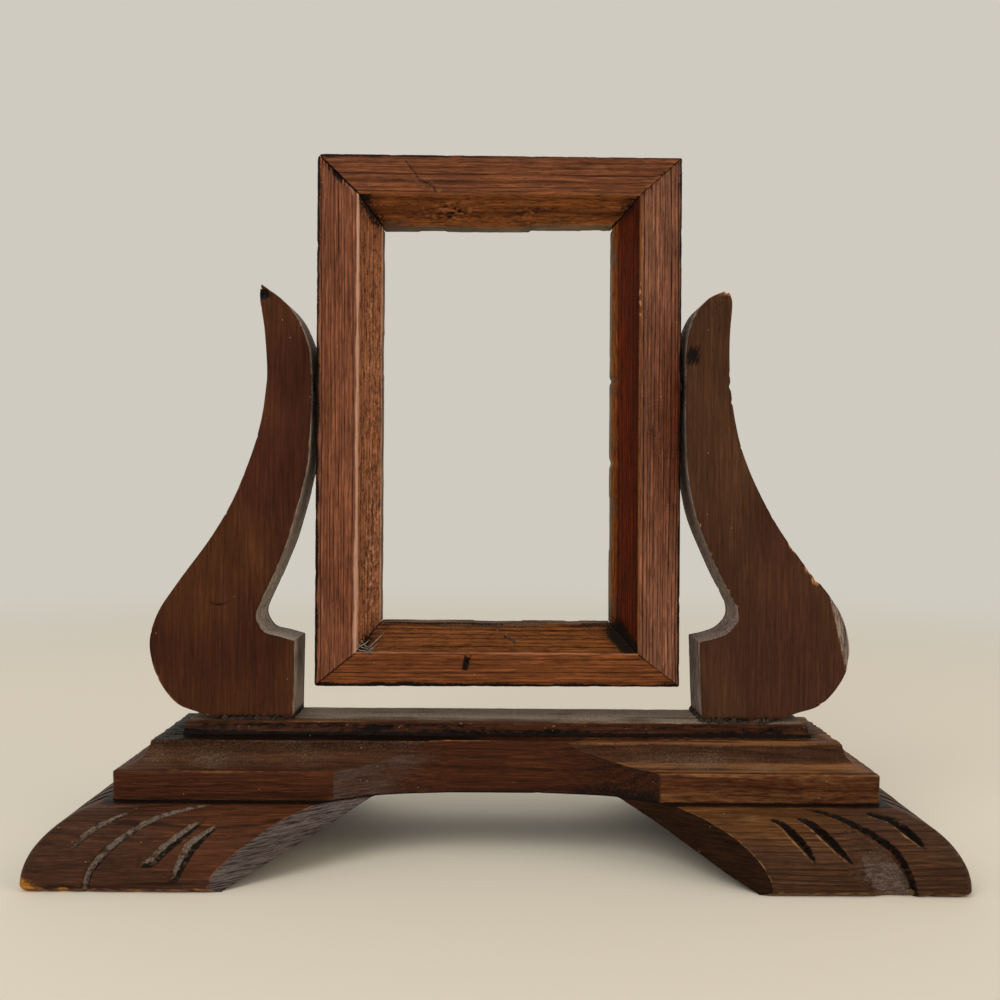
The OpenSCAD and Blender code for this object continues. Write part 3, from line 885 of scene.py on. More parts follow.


# %% The plate, worn and dusty, with painted light from the right and a painted shadow under the nosing
plate_section_points = rounded_line(plate_section, 0.82)
rings, wall = plate_rings(plate_section_points)
lump = lumps_at(rings, 80)
from_end, from_side = rounded(plate_half - np.abs(rings[..., 0]), -plate_front - np.abs(rings[..., 1]), 2.2)
rings[..., 0] = np.sign(rings[..., 0]) * (plate_half - from_end)
rings[..., 1] = np.sign(rings[..., 1]) * (-plate_front - from_side)
normal = outward(rings)
x, y, z = (rings[..., k] for k in range(3))
inset, up = (plate_section_points[:, k][:, None] + 0 * x for k in (0, 1))
masks, put = blank_masks(x.shape)
streaks = lump((34, 3, 2.2), 0)
patches = lump((16, 10, 9), 1)
fine = lump((3.2, 1.5, 1.3), 2)
# Painted light and shade across the plate: its wear shows more towards the right end and its dirt more
# towards the left, as if lit from the right.
light_from_right = ramp(x, -60, 90)
moulded = 1 - wall
fillet_arris = bump(np.hypot(inset - 0.6, up - fillet_h - 1.3), 0, 0.9) * moulded
nosing = np.hypot(inset - hollow_in - hollow_r - 0.3, up - ledge_z + 0.2)
nosing = bump(nosing, 0, 0.8 + 0.7 * light_from_right) * moulded
top_arris = bump(np.hypot(inset - moulding_w, up - ledge_z - riser_h), 0, 0.8) * moulded
cross = np.array([crossing_x(plate_front + i) for i in plate_section_points[:, 0]])[:, None]
wall_arris = bump(np.abs(x) - cross, 0, 0.8) * (y < 0) * (up < ledge_z)
torn = moulded * ramp(inset, ledge_in + 3, ledge_in + 6) * fall(up, ledge_z + 4.2, ledge_z + 5.5)
depth = 0.07 * (1 + streaks) + 0.05 * (1 + fine)
depth += torn * (0.30 * clamp(0.5 + streaks + 0.8 * fine, 2))
depth += fillet_arris * 0.30 * clamp(lump((9, 3, 3), 3))
depth += nosing * 0.45 * clamp(0.4 + lump((12, 3, 3), 4))
depth += top_arris * 0.35 * clamp(lump((7, 3, 3), 5))
depth += wall * (0.02 * (1 + lump((2.4, 2.4, 30), 6)) + 0.12 * clamp(1 + lump((22, 22, 9), 7), 2))
chip_start, chip_end = edge_chip["x"]
chip = ramp(x, chip_start, chip_start + 1.5) * fall(x, chip_end - 2, chip_end)
chip = chip * bump(up + 0.2 * fine, edge_chip["z"], 0.6) * (inset < 2.6) * (y < 0)
depth += edge_chip["depth"] * chip
depth += bottom_notch["depth"] * wall * bump(x, bottom_notch["x"], bottom_notch["half"]) * fall(up, 0.8, 2.4)
depth *= ramp(up, -0.5, 0.6)
put("raw", wall * (0.80 - 0.80 * ramp(x + 12 * patches, -86, 6)))
put("tone", wall)
put("worn", fillet_arris * (0.36 + 0.36 * light_from_right + 0.35 * streaks + 0.15 * fine))
put("worn", nosing * (0.26 + 0.48 * light_from_right + 0.45 * streaks + 0.15 * fine))
put("worn", top_arris * (0.42 + 0.45 * streaks))
put("worn", wall_arris * 0.16)
put("worn", wall * bump(up, ledge_z - 0.2, 0.7) * (0.5 + 0.3 * streaks))
level = ramp(normal[..., 2], 0.35, 0.9) * moulded
on_ledge = level * (inset > ledge_in + 1) * (inset < moulding_w - riser_lean)
put("worn", 0.60 * light_from_right * on_ledge * (0.7 + 0.9 * streaks))
put("grime", (1 - light_from_right) * on_ledge * (0.95 + 0.3 * patches))
put("worn", 0.40 * light_from_right * moulded * (up < fillet_h + 1) * (0.9 + 0.3 * lump((45, 9, 5), 8)))
put("bare", chip * 1.1)
in_hollow = moulded * (inset < ledge_in + 0.5) * ramp(inset, 1.5, 3)
put("dust", in_hollow * (0.38 - 0.02 * light_from_right + 0.12 * patches))
put("worn", in_hollow * light_from_right * (0.58 + 0.3 * streaks) * (inset < 9))
# Painted shadow in the hollow just under the nosing.
put("grime", in_hollow * (0.50 - 0.08 * light_from_right) * ramp(inset, 10.2 - 1.2 * light_from_right, 11.8))
put("grime", in_hollow * (1 - light_from_right) * 0.5 * clamp(lump((30, 12, 6), 9) - 0.1))
near_front = fall(y, plate_front + moulding_w + 1, plate_front + moulding_w + 11)
lying = (0.84 + 0.20 * patches + 0.22 * streaks) * (1 - (0.56 - 0.26 * light_from_right) * near_front)
put("dust", level * (inset > moulding_w) * lying)
put("grime", torn * (0.45 + 0.10 * patches + 0.26 * streaks + 0.22 * fine))
put("bare", torn * clamp(lump((1.8, 0.9, 0.7), 10) - 0.62) * 1.5)
put("grime", bump(np.hypot(inset - moulding_w + riser_lean, up - ledge_z), 0, 1.6) * moulded * 0.95)
put("grime", fall(up, 0.1, 0.9) * 0.9)
put("grime", wall * (0.10 + 0.41 * ramp(x, 12, 50)) + wall * fall(up, 0.5, 6) * 0.22)
put("tone", moulded * fall(up, fillet_h + 1, fillet_h + 2.5))
base_plate = skin("base_plate_worn", rings - normal * depth[..., None], masks)
finished(base_plate, "stand", "base_wood", "base_plate")

# %% [markdown]
# ## The feet
#
# A bracket foot has the same round nose on its front, its end and its back, mitred at the corners. It
# is sawn away inside along a slope, and its front is cut by the same saw path as the plate. So it is
# again a stack of rings, one for each height of the nose, and each ring runs along the sawn front,
# the nose, the end, the back and the slope.
#
# The carving is a few strokes of a gouge. Each stroke is a curve on the unrolled nose, with its own
# width and depth at each knot. Some strokes have one steep wall, as when the gouge was held over to
# one side. Points near a stroke sink straight into the wood, so the carving is real from any side. The
# steep walls are also painted dark as shadow, the floors darker with dirt and painted shade, and the rims
# painted light as highlights.

# %% Strokes of the gouge: the side of the cliff or 0 for none, how wide the cliff is, and the knots
# A knot is (in from the plate's end, degrees round the nose, half width, depth), in mm
strokes = {
    "left": [
        (1, 1.0, [(14, 74, 0.6, 0.2), (7, 62, 1.8, 1.0), (2, 53, 2.5, 1.5), (-1.5, 46, 2.5, 1.5),
         (-6.5, 34, 1.2, 0.7)]),
        (1, 1.0, [(56, 88, 0.8, 0.3), (39, 78, 1.9, 0.7), (26, 65, 2.8, 1.5), (16, 49, 2.5, 1.5),
         (8, 32, 2.8, 1.9), (2, 14, 2.4, 1.7), (0.5, 1, 2.1, 1.6)]),
        (0, 1.0, [(43, 62, 0.8, 0.2), (37, 50, 2.1, 1.2), (29, 33, 2.4, 1.4), (25, 23, 2.0, 1.1),
         (21, 22, 1.3, 0.6), (20, 29, 0.5, 0.2)]),
        (0, 1.0, [(50, 58, 0.5, 0.2), (44, 46, 1.9, 1.1), (39, 34, 2.8, 1.6), (36, 18, 2.0, 1.3),
         (34.5, 10, 1.5, 0.8), (32, 9, 0.9, 0.4)]),
    ],
    "right": [
        (-1, 1.5, [(50, 66, 0.4, 0.2), (44.8, 59, 1.6, 1.7), (41.5, 50, 2.3, 2.8), (38.2, 39, 2.0, 2.4),
         (36.2, 30, 1.2, 1.3), (34.5, 24, 0.5, 0.4)]),
        (-1, 1.6, [(39.5, 68, 0.4, 0.2), (33.2, 59, 2.0, 2.0), (28.8, 48, 2.5, 3.0), (24.8, 35, 1.6, 2.0),
         (22, 28, 1.0, 1.1), (19.2, 21, 0.4, 0.3)]),
        (-1, 1.5, [(40, 87, 0.8, 0.3), (23, 69, 2.2, 1.0), (15, 57, 3.2, 1.8), (10, 49, 4.4, 2.3),
         (3.5, 36, 6.5, 2.8), (0.8, 25, 8.0, 3.0), (-1.2, 14, 8.5, 3.0), (-2.6, 0, 8.0, 3.0)]),
        (-1, 1.2, [(10.5, 75, 0.5, 0.2), (5.5, 70, 1.5, 1.3), (1.5, 66.5, 1.4, 1.2), (-4.8, 65, 0.5, 0.2)]),
        (-1, 1.6, [(3, 66, 0.6, 0.3), (-1.5, 59, 2.0, 2.2), (-4.2, 53, 2.5, 2.7), (-6.5, 45, 1.7, 1.8),
         (-9.5, 35, 0.4, 0.2)]),
    ],
}
end_strokes = [
    (1, 1, [(8, 84, 0.8, 0.6), (1, 68, 1.9, 2.3), (-6, 46, 2.0, 2.4), (-9, 30, 0.6, 0.5)]),
    (1, 1, [(17, 86, 0.8, 0.6), (10, 64, 2.1, 2.5), (2, 38, 2.1, 2.6), (-2, 18, 0.7, 0.6)]),
    (1, 1, [(30, 86, 0.9, 0.6), (22, 66, 2.2, 2.5), (14, 44, 2.2, 2.6), (9, 24, 0.8, 0.6)]),
    (1, 1, [(44, 86, 0.9, 0.6), (36, 62, 2.2, 2.5), (29, 38, 2.1, 2.5), (25, 16, 0.7, 0.5)]),
]
stroke_steps = 60
CARVED = ("floor", "cliff_shadow", "rim")


def carve(across, round_nose, cuts):
    """Depth of the carving at points on the unrolled nose, with its floor, its steep wall for painted shadow
    and its rim for painted highlight.
    """
    depth = np.zeros(across.shape)
    marks = {mark: depth.copy() for mark in CARVED}
    for steep, cliff_w, knots in cuts:
        line = spaced(through(knots, 12), stroke_steps)
        px, ps = line[:, 0], np.radians(line[:, 1]) * nose_r
        distance = np.hypot(across[..., None] - px, round_nose[..., None] - ps)
        nearest = distance.argmin(axis=-1)
        run_x, run_s = np.gradient(px)[nearest], np.gradient(ps)[nearest]
        off_x, off_s = across - px[nearest], round_nose - ps[nearest]
        sign = np.sign(run_x * off_s - run_s * off_x) * (steep or 1)
        away = distance.min(axis=-1)
        half, deep = line[nearest, 2], line[nearest, 3]
        if steep:
            side = np.where(sign > 0, away / np.minimum(cliff_w, half), -away / half)
            profile = np.where(side > 0, clamp(1 - side) ** 0.8, clamp(1 + side) ** 1.15)
        else:
            side = sign * away / half
            profile = clamp(1 - side ** 2)
        strength = ramp(deep, 0.2, 0.9)
        depth = np.maximum(depth, deep * profile)
        cliff_shadow = ramp(sign * away, -0.8, 0.1) * fall(side, 1.0, 1.25)
        for mark, found in zip(CARVED, (ramp(profile, 0.04, 0.3), cliff_shadow, bump(side, -1.1, 0.2))):
            marks[mark] = np.maximum(marks[mark], strength * found)
    return depth, marks


# %% The rings of a foot
foot_h = plate_bottom
nose_z = foot_h - nose_r
undercut = [(foot_h, plate_half - 108), (4, plate_half - 65), (0, plate_half - 56.5)]
foot_steps = {"sawn": 64, "front": 136, "end": 156, "back": 84, "slope": 60}
worn_foot = 2.6


def slope_x(up):
    """How far in the undercut reaches at a height."""
    heights, reach = zip(*undercut[::-1])
    return float(np.interp(up, heights, reach))


def round_corner(x, y, corner_x, corner_y, radius):
    """Rounds a square corner as seen from above, for points in front of it or beside it."""
    on_front = np.abs(y - corner_y) < 1e-6
    on_end = np.abs(x - corner_x) < 1e-6
    far = np.where(on_front, np.abs(corner_x - x), np.abs(y - corner_y))
    turn = clamp(1 - far / radius) * math.pi / 4
    angle = np.where(on_front, turn, math.pi / 2 - turn)
    side = np.sign(corner_y)
    near = (far < radius) & (on_front | on_end)
    new_x = corner_x - radius + radius * np.sin(angle)
    new_y = corner_y - side * radius + side * radius * np.cos(angle)
    return np.where(near, new_x, x), np.where(near, new_y, y)


def foot_ring(out, up):
    """One ring of the right foot, cut out from the plate's edge by out, at the height up."""
    edge_y, edge_x, inner = plate_front - out, plate_half + out, slope_x(up)
    cross = crossing_x(edge_y)
    sawn = np.linspace(inner, cross, foot_steps["sawn"], endpoint=False)
    front = np.linspace(cross, edge_x, foot_steps["front"], endpoint=False)
    end = np.linspace(edge_y, -edge_y, foot_steps["end"], endpoint=False)
    back = np.linspace(edge_x, inner, foot_steps["back"], endpoint=False)
    slope = np.linspace(-edge_y, sawn_y(inner), foot_steps["slope"], endpoint=False)
    x = np.concatenate([sawn, front, end * 0 + edge_x, back, slope * 0 + inner])
    y = np.concatenate([sawn_y(sawn), front * 0 + edge_y, end, back * 0 - edge_y, slope])
    radius = 1.2 + 3.2 * (1 - up / foot_h)
    x, y = round_corner(x, y, edge_x, edge_y, radius)
    x, y = round_corner(x, y, edge_x, -edge_y, radius)
    return np.column_stack([x, y, x * 0 + up])


foot_parts = np.concatenate([[name] * count for name, count in foot_steps.items()])
nose_levels = [(nose_r - worn_foot * (1 - math.sin(a)), worn_foot * (1 - math.cos(a)))
               for a in np.linspace(0, math.pi / 2, 6)[:-1]]
nose_levels += [(nose_r * math.cos(a), nose_z + nose_r * math.sin(a))
                for a in np.linspace(math.asin((worn_foot - nose_z) / nose_r), math.pi / 2, 68)]

# %% Both feet, carved and worn
# How much dust lies in the strokes, how black their floors are, how dark their painted wall shadows and how
# light their painted rim highlights are, and how far out the saw ran at the floor
foot_marks = {"left": {"dust": 0.74, "grime": 0.20, "cliff_shadow": 0.86, "rim": 0.2, "saw": 4.2},
              "right": {"dust": 0.0, "grime": 0.40, "cliff_shadow": 0.98, "rim": 0.80, "saw": 0.0}}
# The worn hollow beside the right foot's long stroke: its left side, its right side, and how that curves
hollow_left, hollow_right, hollow_curve = 135.5, 160.8, 0.029
scoop_from = 5.0


def foot(side):
    """One bracket foot with its carving, its worn lower edge and its marks."""
    rings = np.array([foot_ring(out, up) for out, up in nose_levels])
    lump = lumps_at(rings, 110 if side == "left" else 130)
    marks = foot_marks[side]
    part = np.broadcast_to(foot_parts, rings.shape[:2])
    cross = np.array([crossing_x(plate_front - out) for out, _ in nose_levels])[:, None]
    drawn = np.where(part == "sawn", 1, fall(rings[..., 1], -40, 30)) * np.isin(part, ["sawn", "slope"])
    drawn = np.where(part == "front", fall(rings[..., 0], cross, cross + 24), drawn)
    rings[..., 0] += marks["saw"] * drawn * fall(rings[..., 2], 3, 20)
    cross = cross + marks["saw"] * fall(rings[:, :1, 2], 3, 20)
    normal = outward(rings)
    x, y, z = (rings[..., k] for k in range(3))
    round_nose = nose_r * np.arcsin(np.clip((z - nose_z) / nose_r, -1, 1))
    depth = np.zeros(x.shape)
    carved = {mark: depth.copy() for mark in (*CARVED, "scoop")}
    carvings = (("front", plate_half - x, strokes[side]), ("end", y - plate_front, end_strokes))
    for name, across, cuts in carvings:
        on = foot_parts == name
        narrow = [cut for cut in cuts if max(knot[2] for knot in cut[2]) < scoop_from]
        wide = [cut for cut in cuts if cut not in narrow]
        depth[:, on], found = carve(across[:, on], round_nose[:, on], narrow)
        for mark in CARVED:
            carved[mark][:, on] = found[mark]
        if wide:
            wide_depth, found = carve(across[:, on], round_nose[:, on], wide)
            depth[:, on] = np.maximum(depth[:, on], wide_depth)
            carved["cliff_shadow"][:, on] = np.maximum(carved["cliff_shadow"][:, on], found["cliff_shadow"])
            carved["scoop"][:, on] = found["floor"] * (1 - found["cliff_shadow"])
    streaks = lump((30, 5, 2.4))
    patches = lump((17, 14, 12), 1)
    fine = lump((2.6, 1.8, 1.2), 2)
    hollow_start = hollow_left + 8 * fall(z, 0, 10)
    hollow = ramp(x + 2.2 * fine, hollow_start, hollow_start + 9) * fall(z, 10, 28)
    hollow = hollow * fall(x + hollow_curve * z * z, hollow_right, hollow_right + 1.8)
    hollow = hollow * (part == "front") * (side == "right")
    depth = np.maximum(depth, 1.6 * hollow)
    sawn = np.isin(part, ["sawn", "slope"]) * 1.0
    hacked = 1 + (0.16 if side == "left" else 0.10) * lump((1.4, 1.4, 1.4), 3)
    sink = depth * hacked + 0.10 * (1 + lump((22, 14, 9), 4)) + 0.05 * (1 + streaks)
    sink += sawn * (0.03 * (1 + lump((9, 9, 0.9), 5)) + 0.14 * (1 + lump((18, 18, 18), 6)))
    sink = np.clip(sink, 0, None)
    low_edge = fall(z, 0.8, 3.0)
    nicks = clamp(lump((5, 5, 3), 7) - 0.1)
    sink += low_edge * 0.7 * nicks
    sawn_arris = bump(x - cross, 0, 0.9)
    sawn_arris = sawn_arris * np.isin(part, ["sawn", "front"])
    sink += sawn_arris * (0.15 + 0.35 * clamp(lump((4, 4, 4), 8)))
    sink *= ramp(z, -0.2, 0.4) * fall(z, foot_h - 0.6, foot_h)

    masks, put = blank_masks(x.shape)
    outer_corner = bump(np.hypot(x - plate_half - nose_r, y - plate_front + nose_r), 0, 6.5)
    put("raw", sawn)
    put("worn", low_edge * (0.55 + 0.3 * fine) * (1 - sawn))
    put("worn", sawn_arris * (0.5 + 0.4 * streaks))
    put("worn", 0.35 * ramp(streaks, 0.2, 0.9) * ramp(z, 14, 24))
    bare = low_edge * (0.04 + 0.8 * nicks + 0.35 * fine)
    bare = bare + (side == "left") * outer_corner * fall(z, 2, 8) * 1.2
    put("bare", bare * (1 - sawn) * (0.35 + 0.65 * (side == "left")))
    # Painted highlights on the gouges' rims and painted shadow on their steep walls; the floors hold dust,
    # dirt and painted shade.
    put("worn", carved["rim"] * marks["rim"] * (0.85 + 0.6 * fine))
    at_end = part == "end"
    put("dust", carved["floor"] * np.where(at_end, 0, marks["dust"]) * (1 + 0.38 * fine))
    put("grime", carved["floor"] * np.where(at_end, 0.95, marks["grime"]))
    put("grime", carved["cliff_shadow"] * np.where(at_end, 1.3, marks["cliff_shadow"]) * (0.92 + 0.45 * fine))
    put("grime", ramp(z, foot_h - 0.5, foot_h - 0.1) * 0.75)
    put("dust", 0.30 * clamp(0.2 + patches) * (1 - sawn))
    toward_middle = fall(x, 112, 152)
    if side == "left":
        put("tone", toward_middle * ramp(z, 2, 12) * (1 - sawn))
    else:
        put("tone", toward_middle * ramp(z, 15, 23) * (1 - sawn))
        put("dust", 0.62 * hollow * (1 + 0.2 * fine))
        powdery = ramp(x, 150, 168) * ramp(z, 6, 14)
        put("dust", 0.40 * powdery * (0.9 + 0.5 * patches) * (1 - carved["floor"]))
        put("grime", 0.34 * fall(z, 8, 15) * (1 - hollow) * (part == "front"))
        put("worn", 0.34 * carved["scoop"] * ramp(z, 12, 18))
    rings = rings - normal * sink[..., None]
    rings[..., 2] = np.clip(rings[..., 2], 0, foot_h)
    return skin(side + "_foot_worn", rings * [hands[side], 1, 1], masks)


foot_screw_low, foot_screw_high = box_mm("right_foot_screws")
counterbore_r = 4.5
counterbore_top = foot_screw_low[2]
foot_screw_size = foot_screw_high - foot_screw_low
foot_screw_x = (foot_screw_low[0] + foot_screw_high[0]) / 2
foot_screw_y = foot_screw_size[1] / 2 - foot_screw_size[0] / 2
for side, sign in hands.items():
    bracket = foot(side)
    drill(bracket, [((sign * foot_screw_x, y, -2), (sign * foot_screw_x, y, counterbore_top), counterbore_r)
                    for y in (-foot_screw_y, foot_screw_y)])
    finished(bracket, "stand", "foot_wood", side + "_foot")

# %% [markdown]
# ## A shorthand for nodes
#
# Geometry and shader trees are both made of nodes with settings and inputs. One helper makes a node in
# either: a value for an input is set, and a socket is linked. A list links several sockets to one input.
# Sums of sockets read best as words, and the tree that they belong in is known from a socket itself.

# %% Making nodes
def node(tree, kind, inputs=None, **settings):
    """A new node, with its settings set and its inputs filled or linked."""
    made = tree.nodes.new(kind)
    for key, value in settings.items():
        setattr(made, key, value)
    for key, value in (inputs or {}).items():
        for one in value if isinstance(value, list) else [value]:
            if isinstance(one, bpy.types.NodeSocket):
                tree.links.new(one, made.inputs[key])
            else:
                made.inputs[key].default_value = one
    return made


def sums(operation, a, b):
    """One sum of two sockets or numbers, in the tree that a socket of them is in."""
    tree = (a if isinstance(a, bpy.types.NodeSocket) else b).id_data
    return node(tree, "ShaderNodeMath", {0: a, 1: b}, operation=operation).outputs[0]


plus, minus = partial(sums, "ADD"), partial(sums, "SUBTRACT")
times, divided = partial(sums, "MULTIPLY"), partial(sums, "DIVIDE")
larger = partial(sums, "MAXIMUM")


def new_tree(name, kind, inputs, outputs):
    """An empty tree with named sockets, as {name: (type, default)}, and its two ends."""
    tree = bpy.data.node_groups.new(name, kind)
    for way, sockets in (("INPUT", inputs), ("OUTPUT", outputs)):
        for label, (socket_type, value) in sockets.items():
            made = tree.interface.new_socket(label, in_out=way, socket_type="NodeSocket" + socket_type)
            if value is not None:
                made.default_value = value
    return tree, tree.nodes.new("NodeGroupInput").outputs, tree.nodes.new("NodeGroupOutput").inputs


# %% [markdown]
# ## Screws and brads
#
# Two screws hold each upright, two hold each foot, one more carries each side of the frame, and eight
# brads pin its mitres. Most of them only show when the stand is turned over. They are all alike, so
# one tree of Geometry Nodes builds the screw and sets it on each point. A point says where it goes, which
# way it is driven and how far it was turned, because no two slots line up.
#
# The thread is a fine wire wound round the shank along a spiral, which is how a thread looks from any
# side, and costs far less than cutting one.

# %% A tree that sets fasteners on points
FASTENER_SIDES = 28
DOME_SIDES, DOME_RINGS = 40, 24
THREAD_STEPS = 18
CORE_SHARE = 0.74


def on_points(tree, ins, outs, parts):
    """Ends a tree: joins the parts and sets them on the points, driven and turned as those say."""
    whole = node(tree, "GeometryNodeJoinGeometry", {0: parts}).outputs[0]
    driven = node(tree, "GeometryNodeInputNamedAttribute", {"Name": "driven"}, data_type="FLOAT_VECTOR")
    turned = node(tree, "GeometryNodeInputNamedAttribute", {"Name": "turned"}, data_type="FLOAT")
    aligned = node(tree, "FunctionNodeAlignRotationToVector", {"Vector": driven.outputs[0]}, axis="Z")
    spin = node(tree, "FunctionNodeAxisAngleToRotation", {"Axis": (0, 0, 1), "Angle": turned.outputs[0]})
    turn = node(tree, "FunctionNodeRotateRotation", {0: aligned.outputs[0], 1: spin.outputs[0]},
                rotation_space="LOCAL")
    placed = node(tree, "GeometryNodeInstanceOnPoints",
                  {"Points": ins["Geometry"], "Instance": whole, "Rotation": turn.outputs[0]})
    solid = node(tree, "GeometryNodeRealizeInstances", {"Geometry": placed.outputs[0]})
    painted = node(tree, "GeometryNodeSetMaterial", {"Geometry": solid.outputs[0], "Material": ins["Steel"]})
    tree.links.new(painted.outputs[0], outs["Geometry"])


def lifted(geometry, height):
    """The same geometry moved along Z by a socket or a number."""
    move = node(geometry.id_data, "ShaderNodeCombineXYZ", {"Z": height}).outputs[0]
    return node(geometry.id_data, "GeometryNodeTransform",
                {"Geometry": geometry, "Translation": move}).outputs[0]


def cone(sides, bottom, top, height):
    """A closed cone that stands on z = 0, from its radii and its height."""
    sizes = {"Vertices": sides, "Radius Top": top, "Radius Bottom": bottom, "Depth": height}
    return node(height.id_data, "GeometryNodeMeshCone", sizes).outputs[0]


def fastener_tree(name, sizes):
    """An empty tree for a fastener, with a named input for each of its sizes."""
    inputs = {"Geometry": ("Geometry", None), "Steel": ("Material", None)}
    inputs.update({label: ("Float", value) for label, value in sizes.items()})
    return new_tree(name, "GeometryNodeTree", inputs, {"Geometry": ("Geometry", None)})


# %% The screw: a slotted head, a plain shank, a core with a thread, and a point
def screw_head(tree, ins, domed):
    """The head with its slot: a slice of a ball, or a cone for a countersunk one."""
    shank, head, head_h = ins["Shank radius"], ins["Head radius"], ins["Head height"]
    if domed:
        ball_r = divided(plus(times(head, head), times(head_h, head_h)), times(head_h, 2.0))
        ball = node(tree, "GeometryNodeMeshUVSphere",
                    {"Segments": DOME_SIDES, "Rings": DOME_RINGS, "Radius": ball_r}).outputs[0]
        disc = node(tree, "GeometryNodeMeshCylinder",
                    {"Vertices": FASTENER_SIDES, "Radius": head, "Depth": head_h}).outputs[0]
        both = [lifted(ball, minus(ball_r, head_h)), lifted(disc, times(head_h, -0.5))]
        cap = node(tree, "GeometryNodeMeshBoolean", {"Mesh 2": both}, operation="INTERSECT").outputs[0]
        slot_z = minus(0.0, head_h)
    else:
        cap = cone(FASTENER_SIDES, head, shank, head_h)
        slot_z = 0.0
    sides = {"X": times(head, 4.0), "Y": ins["Slot width"], "Z": times(ins["Slot depth"], 2.0)}
    size = node(tree, "ShaderNodeCombineXYZ", sides).outputs[0]
    slot = lifted(node(tree, "GeometryNodeMeshCube", {"Size": size}).outputs[0], slot_z)
    return node(tree, "GeometryNodeMeshBoolean", {"Mesh 1": cap, "Mesh 2": slot}).outputs[0]


def screw_tree(name, domed):
    """A tree for a slotted screw whose head's seat or face is at z = 0 and whose point is up."""
    tree, ins, outs = fastener_tree(name, {
        "Length": 0.03, "Shank radius": 0.002, "Head radius": 0.004, "Head height": 0.003,
        "Slot width": 0.001, "Slot depth": 0.001, "Thread start": 0.02, "Thread pitch": 0.0016})
    shank, start = ins["Shank radius"], ins["Thread start"]
    point_h, core_r = times(shank, 2.0), times(shank, CORE_SHARE)
    core_l = minus(minus(ins["Length"], start), point_h)
    winding = node(tree, "GeometryNodeCurveSpiral",
                   {"Resolution": THREAD_STEPS, "Rotations": divided(core_l, ins["Thread pitch"]),
                    "Start Radius": core_r, "End Radius": core_r, "Height": core_l}).outputs[0]
    edge = node(tree, "GeometryNodeCurvePrimitiveCircle",
                {"Resolution": 4, "Radius": minus(shank, core_r)}).outputs[0]
    thread = node(tree, "GeometryNodeCurveToMesh",
                  {"Curve": winding, "Profile Curve": edge, "Fill Caps": True}).outputs[0]
    body = cone(FASTENER_SIDES, shank, shank, start)
    core = cone(FASTENER_SIDES, core_r, core_r, core_l)
    point = cone(FASTENER_SIDES, core_r, times(shank, 0.12), point_h)
    on_points(tree, ins, outs, [screw_head(tree, ins, domed), body, lifted(core, start),
                                lifted(thread, start), lifted(point, minus(ins["Length"], point_h))])
    return tree


def brad_tree():
    """A tree for a brad whose head's face is at z = 0 and whose point is up."""
    tree, ins, outs = fastener_tree("brad", {
        "Length": 0.032, "Shank radius": 0.0008, "Head radius": 0.0013, "Head height": 0.0008})
    shank = ins["Shank radius"]
    point_h = times(shank, 2.0)
    straight = minus(ins["Length"], point_h)
    head = cone(24, ins["Head radius"], shank, ins["Head height"])
    point = cone(4, shank, times(shank, 0.2), point_h)
    on_points(tree, ins, outs, [head, cone(16, shank, shank, straight), lifted(point, straight)])
    return tree


# %% Setting fasteners: each place is (position in mm, direction that it is driven in)
def fasten(name, tree, places, sizes, steel, seed):
    """A plain mesh of what a tree makes at the places, with its sizes in mm."""
    rng = np.random.default_rng(seed)
    mesh = bpy.data.meshes.new(name)
    mesh.from_pydata([[c * MM for c in position] for position, _ in places], [], [])
    driven = mesh.attributes.new("driven", "FLOAT_VECTOR", "POINT")
    driven.data.foreach_set("vector", [float(c) for _, way in places for c in way])
    turned = mesh.attributes.new("turned", "FLOAT", "POINT")
    turned.data.foreach_set("value", rng.uniform(0, math.pi, len(places)).astype(np.float32))
    piece = in_scene(name, mesh)
    build = piece.modifiers.new(name, "NODES")
    build.node_group = tree
    for socket in tree.interface.items_tree:
        if socket.in_out == "INPUT" and socket.name in sizes:
            build[socket.identifier] = sizes[socket.name] * MM
        if socket.in_out == "INPUT" and socket.name == "Steel":
            build[socket.identifier] = steel
    made = applied(piece, build)
    piece.data = made
    work = bmesh.new()
    work.from_mesh(made)
    shaded(work, made)
    return piece


# %% [markdown]
# ## Old steel
#
# The screws are dull grey steel with brown rust that starts in spots. Smooth noise decides where metal
# still shows. Rust isn't a metal, so it also lowers the metallic value and raises the roughness.

# %% Colours as seen on the object, and small sums in a shader
def srgb(r, g, b):
    """A colour written as 0 to 255 on screen, as Blender's linear colour."""
    linear = [((c / 255 + 0.055) / 1.055) ** 2.4 if c > 10 else c / 255 / 12.92 for c in (r, g, b)]
    return (*linear, 1.0)


def remap(value, low, high):
    """0 below low, 1 above high, and smooth between, in a shader."""
    return node(value.id_data, "ShaderNodeMapRange", {"Value": value, "From Min": low, "From Max": high},
                interpolation_type="SMOOTHSTEP").outputs[0]


def mix(factor, a, b, blend="MIX"):
    """A mix of two colours, of which at least one or the factor is a socket."""
    tree = next(v.id_data for v in (factor, a, b) if isinstance(v, bpy.types.NodeSocket))
    sockets = {0: factor, 6: a, 7: b}
    return node(tree, "ShaderNodeMix", sockets, data_type="RGBA", blend_type=blend).outputs[2]


def tinted(colour, r, g, b):
    """A colour with its red, green and blue multiplied."""
    return mix(1.0, colour, (r, g, b, 1), "MULTIPLY")


def stretched(vector, scale):
    """A vector with each part multiplied."""
    sockets = {0: vector, 1: scale}
    return node(vector.id_data, "ShaderNodeVectorMath", sockets, operation="MULTIPLY").outputs[0]


def cloud(vector, scale, detail=2.0, roughness=0.5):
    """Smooth noise from 0 to 1, with a scale for each axis in lumps per unit."""
    return node(vector.id_data, "ShaderNodeTexNoise",
                {"Vector": stretched(vector, scale), "Scale": 1.0, "Detail": detail,
                 "Roughness": roughness}).outputs["Fac"]


